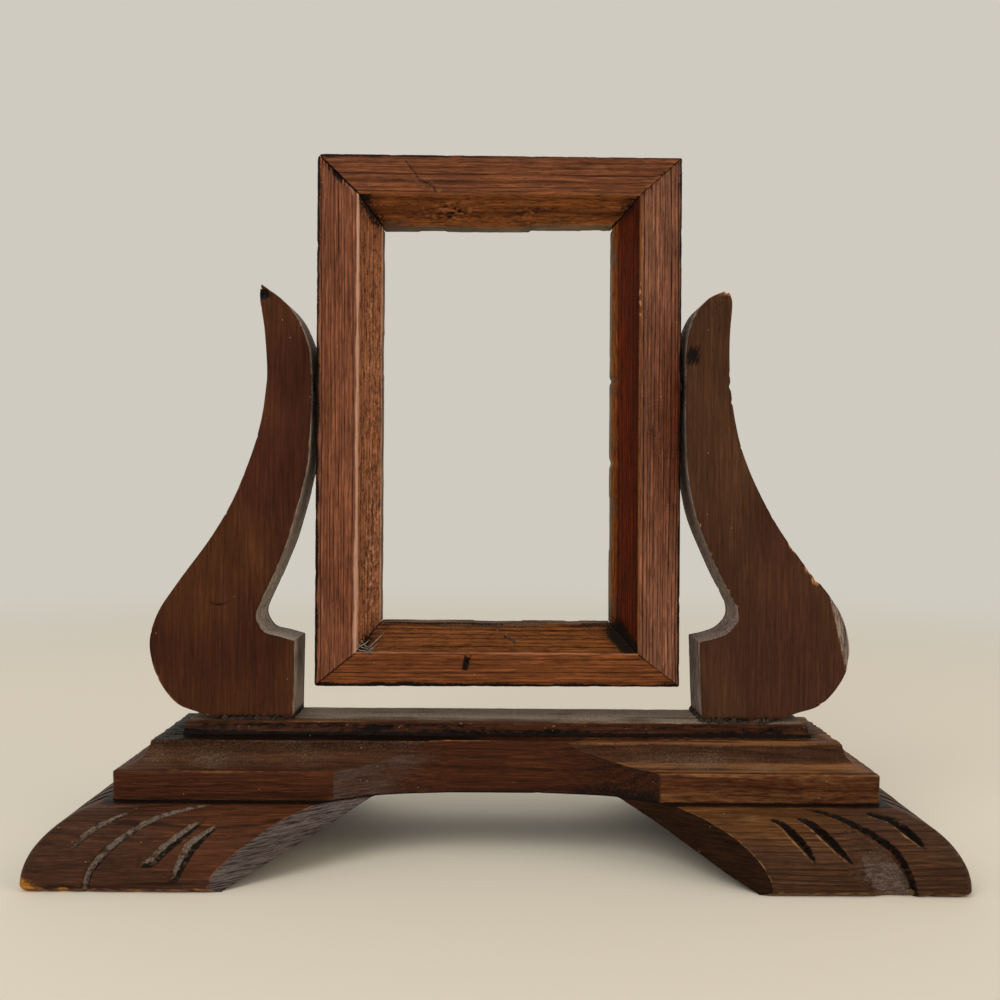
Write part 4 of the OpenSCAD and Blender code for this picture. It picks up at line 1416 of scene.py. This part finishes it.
def in_mm(tree):
    """The object's own coordinates in millimetres."""
    place = node(tree, "ShaderNodeTexCoord").outputs["Object"]
    return node(tree, "ShaderNodeMapping", {"Vector": place, "Scale": (1000, 1000, 1000)}).outputs[0]


def new_material(name):
    """A new material, with its tree and its shader."""
    material = bpy.data.materials.new(name)
    material.use_nodes = True
    return material, material.node_tree, material.node_tree.nodes["Principled BSDF"]


def set_up(shader, height, strength, distance, **links):
    """Links sockets to a shader, and a height to its normal through a bump."""
    tree = height.id_data
    for label, socket in links.items():
        tree.links.new(socket, shader.inputs[label.replace("_", " ")])
    bumped = node(tree, "ShaderNodeBump", {"Strength": strength, "Distance": distance, "Height": height})
    tree.links.new(bumped.outputs[0], shader.inputs["Normal"])


# %% Screw and brad steel
def old_steel(name, metal, rust, rusted):
    """Dull steel with spots of rust: rusted is the share that has gone brown."""
    material, tree, shader = new_material(name)
    mm = in_mm(tree)
    grit = cloud(mm, (6, 6, 6), 2.0)
    brown = remap(cloud(mm, (0.9, 0.9, 0.9), 4.0, 0.6), 0.68 - 0.4 * rusted, 0.80 - 0.4 * rusted)
    dull = mix(remap(grit, 0.3, 0.7), metal, tuple(0.7 * c for c in metal[:3]) + (1,))
    flaky = mix(remap(grit, 0.35, 0.65), rust, tuple(0.45 * c for c in rust[:3]) + (1,))
    set_up(shader, plus(grit, brown), 0.6, 0.00008, Base_Color=mix(brown, dull, flaky),
           Metallic=minus(0.9, brown), Roughness=plus(0.42, times(brown, 0.45)))
    return material


screw_steel = old_steel("screw_steel_aged", srgb(148, 142, 134), srgb(98, 62, 40), 0.45)
brad_steel = old_steel("brad_steel_dark", srgb(92, 86, 82), srgb(66, 46, 34), 0.6)

# %% [markdown]
# ## Driving the screws
#
# The upright screws go up through the plate, the foot screws sit in counterbores under the feet, and the
# pivot screws go in from the outer edges of the uprights, where their domed heads can be seen from the
# side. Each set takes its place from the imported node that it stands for.

# %% Wood screws and pivot screws
screw_r, screw_head_r, screw_head_h, slot_size = 2.0, 4.0, 3.0, 1.0
pivot_head_h = 2.4
wood_screw = screw_tree("slotted wood screw", domed=False)
pivot_screw = screw_tree("domed pivot screw", domed=True)


def drive(node_name, style, tree, places, **sizes):
    """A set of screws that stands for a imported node."""
    sizes = {label.replace("_", " "): size for label, size in sizes.items()}
    sizes.update({"Slot width": slot_size, "Slot depth": slot_size})
    screws = fasten(node_name + style, tree, places, sizes, screw_steel, len(node_name))
    finished(screws, "stand", "screw_steel", node_name)


for side, sign in hands.items():
    for kind, axis in (("upright", 0), ("foot", 1)):
        node_name = "{}_{}_screws".format(side, kind)
        low, high = box_mm(node_name)
        length = high[2] - low[2]
        places = []
        for reach in (low[axis] + screw_head_r, high[axis] - screw_head_r):
            place = [(low[0] + high[0]) / 2, 0, low[2]]
            place[axis] = reach
            places.append((place, (0, 0, 1)))
        drive(node_name, "_slotted", wood_screw, places, Length=length, Shank_radius=screw_r,
              Head_radius=screw_head_r, Head_height=screw_head_h,
              Thread_start=0.38 * length, Thread_pitch=1.9)
    node_name = side + "_pivot_screw"
    low, high = box_mm(node_name)
    seat = max(abs(low[0]), abs(high[0])) - pivot_head_h
    length = seat - min(abs(low[0]), abs(high[0]))
    drive(node_name, "_domed", pivot_screw, [((sign * seat, 0, pivot_z), (-sign, 0, 0))], Length=length,
          Shank_radius=pivot_shank_r, Head_radius=pivot_r, Head_height=pivot_head_h,
          Thread_start=0.9 * length, Thread_pitch=5.0)

# %% The brads in the mitres
brad_in, brad_y, brad_head_r, brad_head_h, brad_r, brad_l = 9.0, 3.5, 1.3, 0.8, 0.8, 32.0
middle_y = (frame_face + frame_back) / 2
places = []
for sign in hands.values():
    for edge_z, up in ((frame_bottom, 1), (frame_top, -1)):
        places.append(((sign * frame_half, middle_y - brad_y, edge_z + up * brad_in), (-sign, 0, 0)))
        places.append(((sign * (frame_half - brad_in), middle_y + brad_y, edge_z), (0, 0, up)))
brad_sizes = {"Length": brad_l, "Shank radius": brad_r, "Head radius": brad_head_r,
              "Head height": brad_head_h}
brads = fasten("mitre_brads_driven", brad_tree(), places, brad_sizes, brad_steel, 5)
finished(brads, "mirror_frame", "brad_steel", "mitre_brads")

# %% [markdown]
# ## Small things along a line
#
# The bent brad, the dried glue round the uprights, a few loose fibres and the cobweb in a corner all
# follow a line. A ring round each point of the line gives them a body, and the ring's size is theirs to
# vary: a taper for the brad, lumps for the glue, almost nothing for a thread.

# %% Rings round a line
def wire_rings(path, radii, sides=10):
    """Rings of points round a path in mm."""
    path = np.array(path, float)
    run = np.gradient(path, axis=0)
    run /= np.linalg.norm(run, axis=1, keepdims=True)
    side = np.cross(run, np.broadcast_to([0.31, 0.23, 0.92], run.shape))
    side /= np.linalg.norm(side, axis=1, keepdims=True)
    up = np.cross(side, run)
    angle = np.linspace(0, 2 * math.pi, sides, endpoint=False)[None, :, None]
    reach = np.broadcast_to(np.array(radii, float), path.shape[0])[:, None, None]
    return path[:, None] + reach * (np.cos(angle) * side[:, None] + np.sin(angle) * up[:, None])


def joined(name, pieces):
    """One object from several, with their meshes together."""
    work = bmesh.new()
    for piece in pieces:
        work.from_mesh(piece.data)
    whole = bpy.data.meshes.new(name)
    work.to_mesh(whole)
    work.free()
    for piece in pieces:
        bpy.data.objects.remove(piece)
    return in_scene(name, whole)


# %% The bent brad, sunk into the bottom rail's bevel and hammered flat along it
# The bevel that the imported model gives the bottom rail, and where on it the brad went in
packed_face_w, packed_bevel_w = 17.5, 11.2
root_x, root_up = 3.6, 5
bevel_turn = math.atan2(bevel_drop, packed_bevel_w)
bent_root = np.array([root_x, frame_face + root_up * bevel_drop / packed_bevel_w,
                      frame_bottom + packed_face_w + root_up])


def on_bevel_place(points):
    """Points given as (along, out of the bevel, up the bevel) from the brad's root, in mm."""
    points = np.array(points, float)
    c, s = math.cos(bevel_turn), math.sin(bevel_turn)
    along, out, up = points[:, 0], points[:, 1], points[:, 2]
    return bent_root + np.column_stack([along, -out * c + up * s, out * s + up * c])


knots = [(0, -3.6, 0), (0, -1.5, 0), (0.05, -0.1, 0), (0.55, 0.45, -0.45), (2.2, 0.50, -1.8),
         (3.6, 0.50, -3.1), (5.4, 0.55, -4.5)]
brad_steps = 60
path = spaced(through(on_bevel_place(knots)), brad_steps)
radii = 0.50 - 0.14 * np.linspace(0, 1, brad_steps)
radii[-1], radii[0] = 0.12, 0.10
bent_brad = skin("bent_brad_laid", wire_rings(path, radii, 12), {})
bent_brad.data.materials.append(brad_steel)
finished(bent_brad, "mirror_frame", "brad_steel", "bent_brad")

# %% Dried glue and dirt round the foot of each upright, with a few loose fibres
glue_steps = 380
fibres = 42


def glue(side):
    """A lumpy bead round an upright's foot, and the fibres that stick out of it."""
    seed = 160 if side == "right" else 170
    near, far, deep = swing_x + 8.2, swing_x + 36.5, upright_half
    z = plate_top + 0.15
    corners = [(near, -deep), (far, -deep), (far, deep), (near, deep), (near, -deep)]
    line = spaced(np.array([(x, y, z) for x, y in corners]), glue_steps)
    lump = lumps(line, (1.2, 1.2, 1.2), seed)
    gap = ramp(lumps(line, (5, 5, 5), seed + 1), -0.55, 0.1)
    radii = np.clip(0.30 + 1.15 * gap * (0.65 + 1.0 * lump), 0.08, 1.9)
    line[:, 0] += 0.25 * lump
    beads = [skin("bead", wire_rings(line, radii, 8), {})]
    rng = np.random.default_rng(seed)
    for _ in range(fibres):
        start = np.array([rng.uniform(near - 1, far + 3), -deep - 0.4, z + rng.uniform(0.1, 0.9)])
        lean, length = rng.uniform(-1, 1), rng.uniform(1.2, 4.2)
        knots = [start, start + [lean * length * 0.5, -0.8, rng.uniform(0, 0.8)],
                 start + [lean * length, -rng.uniform(0.2, 1.6), rng.uniform(-0.05, 0.6)]]
        thread = spaced(through(knots), 12)
        beads.append(skin("fibre", wire_rings(thread, np.linspace(0.14, 0.06, 12), 4), {}))
    whole = joined(side + "_glue_bead", beads)
    for vertex in whole.data.vertices:
        vertex.co.x *= hands[side]
    if side == "left":
        whole.data.flip_normals()
    return whole


glue_beads = [glue(side) for side in hands]
for bead in glue_beads:
    finished(bead, "stand", "upright_wood")

# %% A torn cobweb in the frame's lower left corner, as (x, back from the face, z) from that corner
web_knots = [
    [(18.0, 0.4, 19.5), (19.5, 1.8, 17.6), (21.5, 1.9, 16.4), (25.0, 1.5, 16.6), (28.0, 3.0, 19.0)],
    [(18.2, 1.2, 21.5), (19.4, 1.4, 18.6), (21.0, 1.2, 17.2), (23.5, 1.0, 16.9)],
    [(20.5, 2.0, 20.5), (22.0, 1.6, 18.2), (24.0, 1.6, 17.5), (26.5, 2.6, 19.6), (30.0, 6.4, 23.0)],
    [(18.6, 0.6, 16.4), (20.0, 1.0, 17.8), (22.2, 1.6, 18.8), (24.0, 3.2, 20.4)],
    [(17.6, 0.1, 17.6), (18.8, 0.5, 16.6), (20.6, 0.7, 16.0), (23.0, 0.5, 15.9)],
]
corner = np.array([-frame_half, frame_face, frame_bottom])
thread_steps = 40
thread_r = 0.06 + 0.07 * np.sin(np.linspace(0, math.pi, thread_steps))
threads = []
for knots in web_knots:
    line = spaced(through(corner + np.array(knots)), thread_steps)
    threads.append(skin("thread", wire_rings(line, thread_r, 5), {}))
cobweb = joined("corner_cobweb", threads)
finished(cobweb, "mirror_frame", "frame_wood")

# %% [markdown]
# ## Softwood
#
# Pine and fir grow a wide pale band each spring and a thin dark one each summer, and the dark band ends
# sharply. A board shows these years as lines wherever its face cuts them. So the pattern isn't painted
# on each face: the material measures how far a point is from the middle of the tree, and all the faces
# of a board then agree, end grain too. How far off the tree's middle lies decides whether the lines run
# straight, as on the frame, or in slow waves, as on the feet.
#
# One node group holds this, and each board has its own tree.

# %% The softwood group: growth lines, fibres and slow patches, for a vector in mm with the tree along Z
softwood, ins, outs = new_tree(
    "softwood", "ShaderNodeTree",
    {"Vector": ("Vector", None), "Ring width": ("Float", 2.0), "Wander": ("Float", 1.0)},
    {mask: ("Float", None) for mask in ("Latewood", "Fibre", "Mottle", "Dash", "Crackle")})
vector = ins["Vector"]
reach = node(softwood, "ShaderNodeVectorMath", {0: stretched(vector, (1, 1, 0))}, operation="LENGTH")
reach = reach.outputs["Value"]
drift = minus(cloud(vector, (0.045, 0.045, 0.009), 1.0), 0.5)
shiver = minus(cloud(vector, (0.4, 0.4, 0.035), 1.0), 0.5)
along = node(softwood, "ShaderNodeCombineXYZ", {"X": times(reach, 0.13)}).outputs[0]
uneven = minus(cloud(along, (1, 1, 1), 1.0), 0.5)
bent = plus(times(drift, 9.0), times(shiver, 1.6))
bent = times(bent, ins["Wander"])
bent = plus(bent, times(uneven, 6.0))
years = divided(plus(reach, bent), ins["Ring width"])
season = node(softwood, "ShaderNodeMath", {0: years}, operation="FRACT").outputs[0]
year = node(softwood, "ShaderNodeMath", {0: years}, operation="FLOOR").outputs[0]
luck = node(softwood, "ShaderNodeTexWhiteNoise", {"W": year}, noise_dimensions="1D").outputs["Value"]
summer = times(remap(season, 0.50, 0.84), minus(1.0, remap(season, 0.94, 1.0)))
strength = plus(0.45, times(luck, 0.55))
faint = remap(cloud(vector, (0.5, 0.5, 0.05), 2.0), 0.32, 0.60)
strength = times(strength, plus(0.5, times(faint, 0.5)))
softwood.links.new(times(summer, strength), outs["Latewood"])
fibre = cloud(vector, (1.5, 1.5, 0.06), 3.0, 0.6)
softwood.links.new(remap(fibre, 0.34, 0.66), outs["Fibre"])
dash = cloud(vector, (1.7, 1.7, 0.15), 2.0, 0.55)
softwood.links.new(remap(dash, 0.53, 0.68), outs["Dash"])
crackle = cloud(vector, (1.15, 1.15, 0.19), 3.0, 0.68)
softwood.links.new(remap(crackle, 0.50, 0.66), outs["Crackle"])
softwood.links.new(remap(cloud(vector, (0.07, 0.07, 0.022), 2.0), 0.3, 0.7), outs["Mottle"])

# %% [markdown]
# ## Wear, dirt and specks
#
# The masks on the meshes say where wear and dirt belong, and where light and shade are painted, but their
# edges are smooth, and real ones are torn. One group breaks an edge up with noise, and leaves clean what is
# fully clean or fully dirty. The other scatters the pale specks of lint and plaster that lie all over the
# old surface.

# %% The torn edge group and the specks group
patchy, ins, outs = new_tree(
    "torn edge", "ShaderNodeTree",
    {"Vector": ("Vector", None), "Mask": ("Float", 0.0), "Lumps per mm": ("Float", 1.0),
     "Ragged": ("Float", 1.0)},
    {"Mask": ("Float", None)})
fog = {"Vector": ins["Vector"], "Scale": ins["Lumps per mm"], "Detail": 3.0, "Roughness": 0.6}
fog = node(patchy, "ShaderNodeTexNoise", fog).outputs["Fac"]
pushed = times(minus(fog, 0.5), ins["Ragged"])
patchy.links.new(remap(plus(ins["Mask"], pushed), 0.22, 0.78), outs["Mask"])

specks, ins, outs = new_tree(
    "pale specks", "ShaderNodeTree",
    {"Vector": ("Vector", None), "Apart": ("Float", 4.0), "Radius": ("Float", 0.3), "Share": ("Float", 0.2)},
    {"Mask": ("Float", None)})
per_mm = divided(1.0, ins["Apart"])
cells = node(specks, "ShaderNodeTexVoronoi", {"Vector": ins["Vector"], "Scale": per_mm, "Randomness": 1.0})
far = times(cells.outputs["Distance"], ins["Apart"])
dot = minus(1.0, remap(divided(far, ins["Radius"]), 0.5, 1.0))
lot = node(specks, "ShaderNodeSeparateColor", {0: cells.outputs["Color"]}).outputs[0]
chosen = sums("LESS_THAN", lot, ins["Share"])
specks.links.new(times(dot, chosen), outs["Mask"])

# %% [markdown]
# ## Stained and worn wood
#
# All the boards are the same wood under much the same stain, so one function builds their materials and
# a small table of colours says how they differ. The layers go on in the order in which they came to the
# real thing: wood, stain, uneven stain, wear, saw marks, breaks, dust, and dirt last. Painted highlights go
# on the fibres and flakes with the stain, and painted shade goes on with the dirt.
#
# Every layer also changes how the surface shines and feels. Old stain has a low satin gloss, dust and
# raw wood have none, and summer wood stands a little proud of the softer spring wood.

# %% Colours of the boards
ALONG_X, ALONG_Z = (0, -math.pi / 2, 0), (0, 0, 0)
COLOURS = ("early", "late", "tone_early", "tone_late", "worn", "raw", "raw_dark", "bare", "bare_dark",
           "dust", "grime", "speck")


def look(base, **changes):
    """A look with some values and some colours changed, the colours as seen on screen."""
    changes = {key: srgb(*value) if key in COLOURS else value for key, value in changes.items()}
    return {**base, **changes}


stained = look({}, grain=ALONG_Z, wander=1.0, contrast=0.95, fibre=0.35, mottle=0.35, dash=0.45, gloss=0.40,
               glint=0.6, relief=0.0004, raw=(142, 120, 98), raw_dark=(92, 74, 58), bare=(206, 146, 92),
               bare_dark=(150, 92, 48), dust=(120, 108, 94), grime=(15, 11, 8), speck=(190, 170, 146),
               speck_share=0.10, scoring=(0.10, 0.10, 2.2))
stile_wood = look(stained, wander=0.3, dash=0.6, scoring=(2.2, 2.2, 0.1))
rail_wood = look(stained, wander=0.3, dash=0.6, scoring=(0.1, 2.2, 2.2), grain=ALONG_X)
upright_wood = look(stained, ring=2.6, contrast=0.36, fibre=0.3, gloss=0.36, dash=0.3, glint=0.3,
                    relief=0.00016, crackle=(0.16, 0.12), scoring=(1.1, 1.1, 0.13))
foot_wood = look(stained, grain=ALONG_X, ring=1.7, wander=0.8, mottle=0.5, crackle=(0.26, 0.16))
looks = {
    # The left stile's bevel colours are painted lighter, as if lit, and the right stile's darker, as if in
    # shade.
    "left_stile": look(
        stile_wood, early=(140, 86, 60), late=(48, 21, 12), tone_early=(160, 104, 70),
        tone_late=(82, 40, 18), worn=(212, 164, 138), ring=1.55, pith=(95, 14, 0), crackle=(0.28, 0.80),
        mottle=0.5),
    "right_stile": look(
        stile_wood, early=(151, 101, 76), late=(42, 19, 12), tone_early=(93, 31, 2), tone_late=(40, 9, 0),
        worn=(150, 92, 38), ring=1.3, pith=(-96, 22, 0), crackle=(0.36, 0.15), mottle=0.55, dash=0.7,
        contrast=1.15),
    "top_rail": look(
        rail_wood, early=(129, 78, 49), late=(46, 19, 8), tone_early=(134, 78, 38), tone_late=(54, 23, 8),
        worn=(156, 102, 62), ring=2.4, pith=(210, 40, 0), crackle=(0.30, 0.72)),
    "bottom_rail": look(
        rail_wood, early=(134, 77, 39), late=(48, 20, 7), tone_early=(128, 76, 35), tone_late=(50, 22, 8),
        worn=(178, 118, 84), ring=2.1, pith=(-60, 30, 0), crackle=(0.28, 0.5), wander=0.35),
    "left_upright": look(
        upright_wood, early=(77, 40, 26), late=(42, 20, 12), tone_early=(92, 54, 30), tone_late=(50, 26, 12),
        worn=(132, 88, 58), raw=(186, 172, 156), raw_dark=(118, 104, 92), pith=(-230, 60, 0), mottle=0.65),
    "right_upright": look(
        upright_wood, early=(80, 48, 33), late=(44, 24, 16), tone_early=(90, 59, 38), tone_late=(52, 31, 20),
        worn=(132, 92, 62), raw=(160, 140, 126), raw_dark=(84, 70, 64), pith=(240, 70, 0), mottle=0.6),
    "left_foot": look(
        foot_wood, early=(78, 48, 32), late=(31, 17, 11), tone_early=(93, 53, 29), tone_late=(36, 17, 8),
        worn=(146, 104, 82), raw=(114, 102, 99), raw_dark=(50, 40, 38), bare=(198, 136, 52),
        bare_dark=(120, 72, 26), dust=(140, 127, 114), pith=(-40, -40, 0), contrast=0.86, speck_share=0.26),
    "right_foot": look(
        foot_wood, early=(88, 58, 38), late=(34, 20, 12), tone_early=(118, 77, 41), tone_late=(50, 29, 14),
        worn=(158, 120, 82), raw=(50, 29, 15), raw_dark=(27, 14, 7), bare=(196, 156, 112),
        bare_dark=(140, 100, 64), dust=(118, 104, 97), pith=(-40, 40, 0), contrast=0.85, speck_share=0.24),
}
plate_look = look(
    stained, early=(84, 50, 30), late=(40, 19, 10), tone_early=(84, 45, 24), tone_late=(42, 20, 10),
    worn=(152, 102, 60), raw=(98, 80, 72), raw_dark=(60, 43, 36), dust=(176, 160, 140), grain=ALONG_X,
    ring=2.8, pith=(10, 60, 0), wander=1.2, fibre=0.4, mottle=0.5, speck_share=0.24, contrast=0.7,
    crackle=(0.25, 0.12))
print("looks:", len(looks) + 1)


# %% The material of a board
def mask_of(tree, mask):
    """A mask stored on the mesh."""
    return node(tree, "ShaderNodeAttribute", attribute_name=mask).outputs["Fac"]


def torn_mask(vector, mask, per_mm, ragged):
    """A mask of the mesh with its edge broken up."""
    tree = vector.id_data
    inputs = {"Vector": vector, "Mask": mask_of(tree, mask), "Lumps per mm": per_mm, "Ragged": ragged}
    return node(tree, "ShaderNodeGroup", inputs, node_tree=patchy).outputs["Mask"]


def board(name, colours):
    """Stained softwood with all its wear and dirt, and its painted shade and highlights."""
    material, tree, shader = new_material(name)
    mm = in_mm(tree)
    along = {"Vector": mm, "Rotation": colours["grain"], "Location": colours["pith"]}
    turned = node(tree, "ShaderNodeMapping", along).outputs[0]
    years = {"Vector": turned, "Ring width": colours["ring"], "Wander": colours["wander"]}
    wood = node(tree, "ShaderNodeGroup", years, node_tree=softwood).outputs
    late = times(wood["Latewood"], colours["contrast"])
    stained = mix(late, colours["early"], colours["late"])
    second = mix(late, colours["tone_early"], colours["tone_late"])
    stained = mix(mask_of(tree, "tone"), stained, second)
    stained = mix(times(minus(1.0, wood["Fibre"]), colours["fibre"]), stained, colours["late"])
    # Painted highlights: the fibres and the flakes of the crackled finish are lightened as if light rakes
    # across them.
    lit = tinted(stained, 1.6, 1.55, 1.5)
    stained = mix(times(remap(wood["Fibre"], 0.7, 1.0), colours["glint"]), stained, lit)
    stained = mix(times(wood["Mottle"], colours["mottle"]), stained, tinted(stained, 0.55, 0.50, 0.48))
    deep = tinted(stained, 0.36, 0.30, 0.27)
    stained = mix(times(wood["Dash"], colours["dash"]), stained, deep)
    on_face, on_bevel = colours["crackle"]
    crackled = plus(on_face, times(mask_of(tree, "tone"), on_bevel - on_face))
    flaky = times(minus(1.0, wood["Crackle"]), sums("POWER", crackled, 2.0))
    stained = mix(times(flaky, 0.62), stained, lit)
    stained = mix(times(wood["Crackle"], crackled), stained, deep)

    streaked = stretched(turned, (1, 1, 0.14))
    # Lighter where the stain is rubbed thin, and painted highlights on the gouges' rims and towards the
    # plate's right end.
    worn = torn_mask(streaked, "worn", 1.2, 0.7)
    lightened = mix(times(late, 0.45), colours["worn"], colours["late"])
    surface = mix(times(worn, 0.85), stained, lightened)
    raw = torn_mask(mm, "raw", 0.8, 0.5)
    scored = cloud(mm, colours["scoring"], 3.0, 0.65)
    sawn = mix(remap(scored, 0.38, 0.64), colours["raw"], colours["raw_dark"])
    sawn = mix(times(late, 0.3), sawn, colours["raw_dark"])
    surface = mix(raw, surface, sawn)
    bare = torn_mask(turned, "bare", 1.3, 0.8)
    broken = mix(wood["Fibre"], colours["bare_dark"], colours["bare"])
    surface = mix(bare, surface, broken)
    dust = torn_mask(mm, "dust", 1.4, 1.1)
    stipple = cloud(mm, (1.5, 1.5, 1.5), 2.0, 0.7)
    thin = tuple(c * share for c, share in zip(colours["dust"], (0.34, 0.27, 0.20, 1)))
    settled = mix(remap(mask_of(tree, "dust"), 0.35, 0.75), thin, colours["dust"])
    settled = mix(remap(stipple, 0.40, 0.62), settled, tinted(settled, 0.48, 0.45, 0.42))
    surface = mix(times(dust, 0.85), surface, settled)
    # Darker, then black, where the mask is high: dirt, and painted shade in the gouges, under the plate's
    # nosing, beside the pivots and on the right stile.
    darkened = tinted(surface, 0.34, 0.26, 0.22)
    surface = mix(times(mask_of(tree, "grime"), 0.85), surface, darkened)
    grime = remap(torn_mask(mm, "grime", 1.1, 1.0), 0.45, 1.0)
    surface = mix(times(grime, 0.92), surface, colours["grime"])
    spread = {"Vector": mm, "Apart": 3.4, "Radius": 0.26, "Share": colours["speck_share"]}
    speck = node(tree, "ShaderNodeGroup", spread, node_tree=specks).outputs[0]
    surface = mix(times(speck, 0.7), surface, colours["speck"])

    matt = larger(times(dust, 0.45), times(raw, 0.38))
    matt = larger(matt, times(bare, 0.38))
    matt = larger(matt, times(worn, 0.18))
    rough = plus(colours["gloss"], matt)
    rough = plus(rough, times(minus(wood["Fibre"], 0.5), 0.12))
    shader.inputs["Specular IOR Level"].default_value = 0.07

    height = times(wood["Fibre"], 0.45)
    height = plus(height, times(wood["Latewood"], 0.35))
    height = plus(height, times(times(scored, raw), 0.35))
    height = minus(height, times(wood["Dash"], 0.35))
    height = minus(height, times(times(wood["Crackle"], crackled), 1.2))
    height = plus(height, times(times(stipple, dust), 0.9))
    set_up(shader, height, 0.7, colours["relief"], Base_Color=surface, Roughness=rough)
    return material


def paint(piece, material):
    """Gives a piece its one material."""
    piece.data.materials.clear()
    piece.data.materials.append(material)


for name, colours in looks.items():
    paint(bpy.data.objects[name + "_worn"], board(name + "_stained", colours))
paint(base_plate, board("plate_stained", plate_look))

# %% [markdown]
# ## Glue, fibres and cobweb
#
# The old glue is black with dirt and has a few brown lumps. The cobweb is grey lint: thin, pale and
# without any shine.

# %% Dry matt stuff
def dry(name, pale, dark, per_mm):
    """A matt material that changes between two colours in small lumps."""
    material, tree, shader = new_material(name)
    lump = cloud(in_mm(tree), (per_mm,) * 3, 3.0, 0.6)
    shader.inputs["Roughness"].default_value = 0.9
    set_up(shader, lump, 0.5, 0.0001, Base_Color=mix(remap(lump, 0.4, 0.65), dark, pale))
    return material


old_glue = dry("old_glue", srgb(74, 56, 44), srgb(22, 17, 14), 1.1)
for bead in glue_beads:
    paint(bead, old_glue)
paint(cobweb, dry("cobweb_lint", srgb(196, 184, 170), srgb(140, 122, 106), 1.5))

# %% [markdown]
# ## Floor and light
#
# A plain pale floor takes the soft shadow under the arch. The world gives half of the light, from all
# sides, as a pale room does. A large lamp in front, above and a little to the left gives the rest, and a
# weaker warm one on the right keeps that side from going dead.

# %% The pale backdrop colour, and the rays that meet it
backdrop = srgb(208, 203, 192)


def seen_rays(tree):
    """1 for rays that look at a thing: from the camera, off a gloss or through glass."""
    rays = node(tree, "ShaderNodeLightPath")
    mirrored = larger(rays.outputs["Is Glossy Ray"], rays.outputs["Is Transmission Ray"])
    return larger(rays.outputs["Is Camera Ray"], mirrored)


# %% A pale floor that fades into the backdrop far from the object
floor_mesh = bpy.data.meshes.new("floor")
floor_half = 12.0
turns = ((-1, -1), (1, -1), (1, 1), (-1, 1))
floor_mesh.from_pydata([(x * floor_half, y * floor_half, 0) for x, y in turns], [], [range(4)])
floor = in_scene("floor", floor_mesh)
floor_paint, tree, shader = new_material("pale_floor")
shader.inputs["Base Color"].default_value = srgb(237, 228, 209)
shader.inputs["Roughness"].default_value = 0.8
shader.inputs["Specular IOR Level"].default_value = 0.2
fade_start, fade_end = 0.45, 1.3
place = node(tree, "ShaderNodeTexCoord").outputs["Object"]
far = node(tree, "ShaderNodeVectorMath", {0: place}, operation="LENGTH").outputs["Value"]
fade = times(remap(far, fade_start, fade_end), seen_rays(tree))
glow = node(tree, "ShaderNodeEmission", {"Color": backdrop, "Strength": 1.0}).outputs[0]
faded = node(tree, "ShaderNodeMixShader", {0: fade, 1: shader.outputs[0], 2: glow}).outputs[0]
tree.links.new(faded, tree.nodes["Material Output"].inputs["Surface"])
paint(floor, floor_paint)

# %% The world and the lamps
world = bpy.data.worlds.new("pale room")
bpy.context.scene.world = world
world.use_nodes = True
tree = world.node_tree
background = tree.nodes["Background"]
background.inputs["Color"].default_value = (1.0, 0.985, 0.96, 1)
background.inputs["Strength"].default_value = 0.55
seen = node(tree, "ShaderNodeBackground", {"Color": backdrop, "Strength": 1.0})
both = {0: seen_rays(tree), 1: background.outputs[0], 2: seen.outputs[0]}
choice = node(tree, "ShaderNodeMixShader", both)
tree.links.new(choice.outputs[0], tree.nodes["World Output"].inputs["Surface"])


def lamp(name, place, size, watts, colour):
    """A soft square lamp aimed at the middle of the object."""
    data = bpy.data.lights.new(name, "AREA")
    data.shape = "SQUARE"
    data.size = size
    data.energy = watts
    data.color = colour
    made = in_scene(name, data)
    made.location = place
    aim = Vector((0, 0, 0.15)) - Vector(place)
    made.rotation_euler = aim.to_track_quat("-Z", "Y").to_euler()


lamp("window", (-0.75, -1.15, 1.35), 1.2, 13.0, (1.0, 0.985, 0.96))
lamp("warm fill", (1.3, -0.6, 0.8), 0.9, 4.5, (1.0, 0.86, 0.70))

# %% [markdown]
# ## The camera
#
# The photograph was taken from straight in front at about half the object's height, quite close, with
# the camera held a third of a degree off level. A 36 mm lens on Blender's 36 mm sensor gives its angle.

# %% The camera
camera_data = bpy.data.cameras.new("camera")
camera = in_scene("camera", camera_data)
camera.location = (-0.0012, -0.4507, 0.1549)
roll = math.radians(0.35)
camera.rotation_euler = (math.radians(90), -roll, 0)
camera_data.lens = 36
camera_data.sensor_width = 36
camera_data.shift_x = 0.0048
camera_data.shift_y = -0.0051
camera_data.clip_start = 0.01
bpy.context.scene.camera = camera
bpy.context.scene.view_settings.view_transform = "Standard"
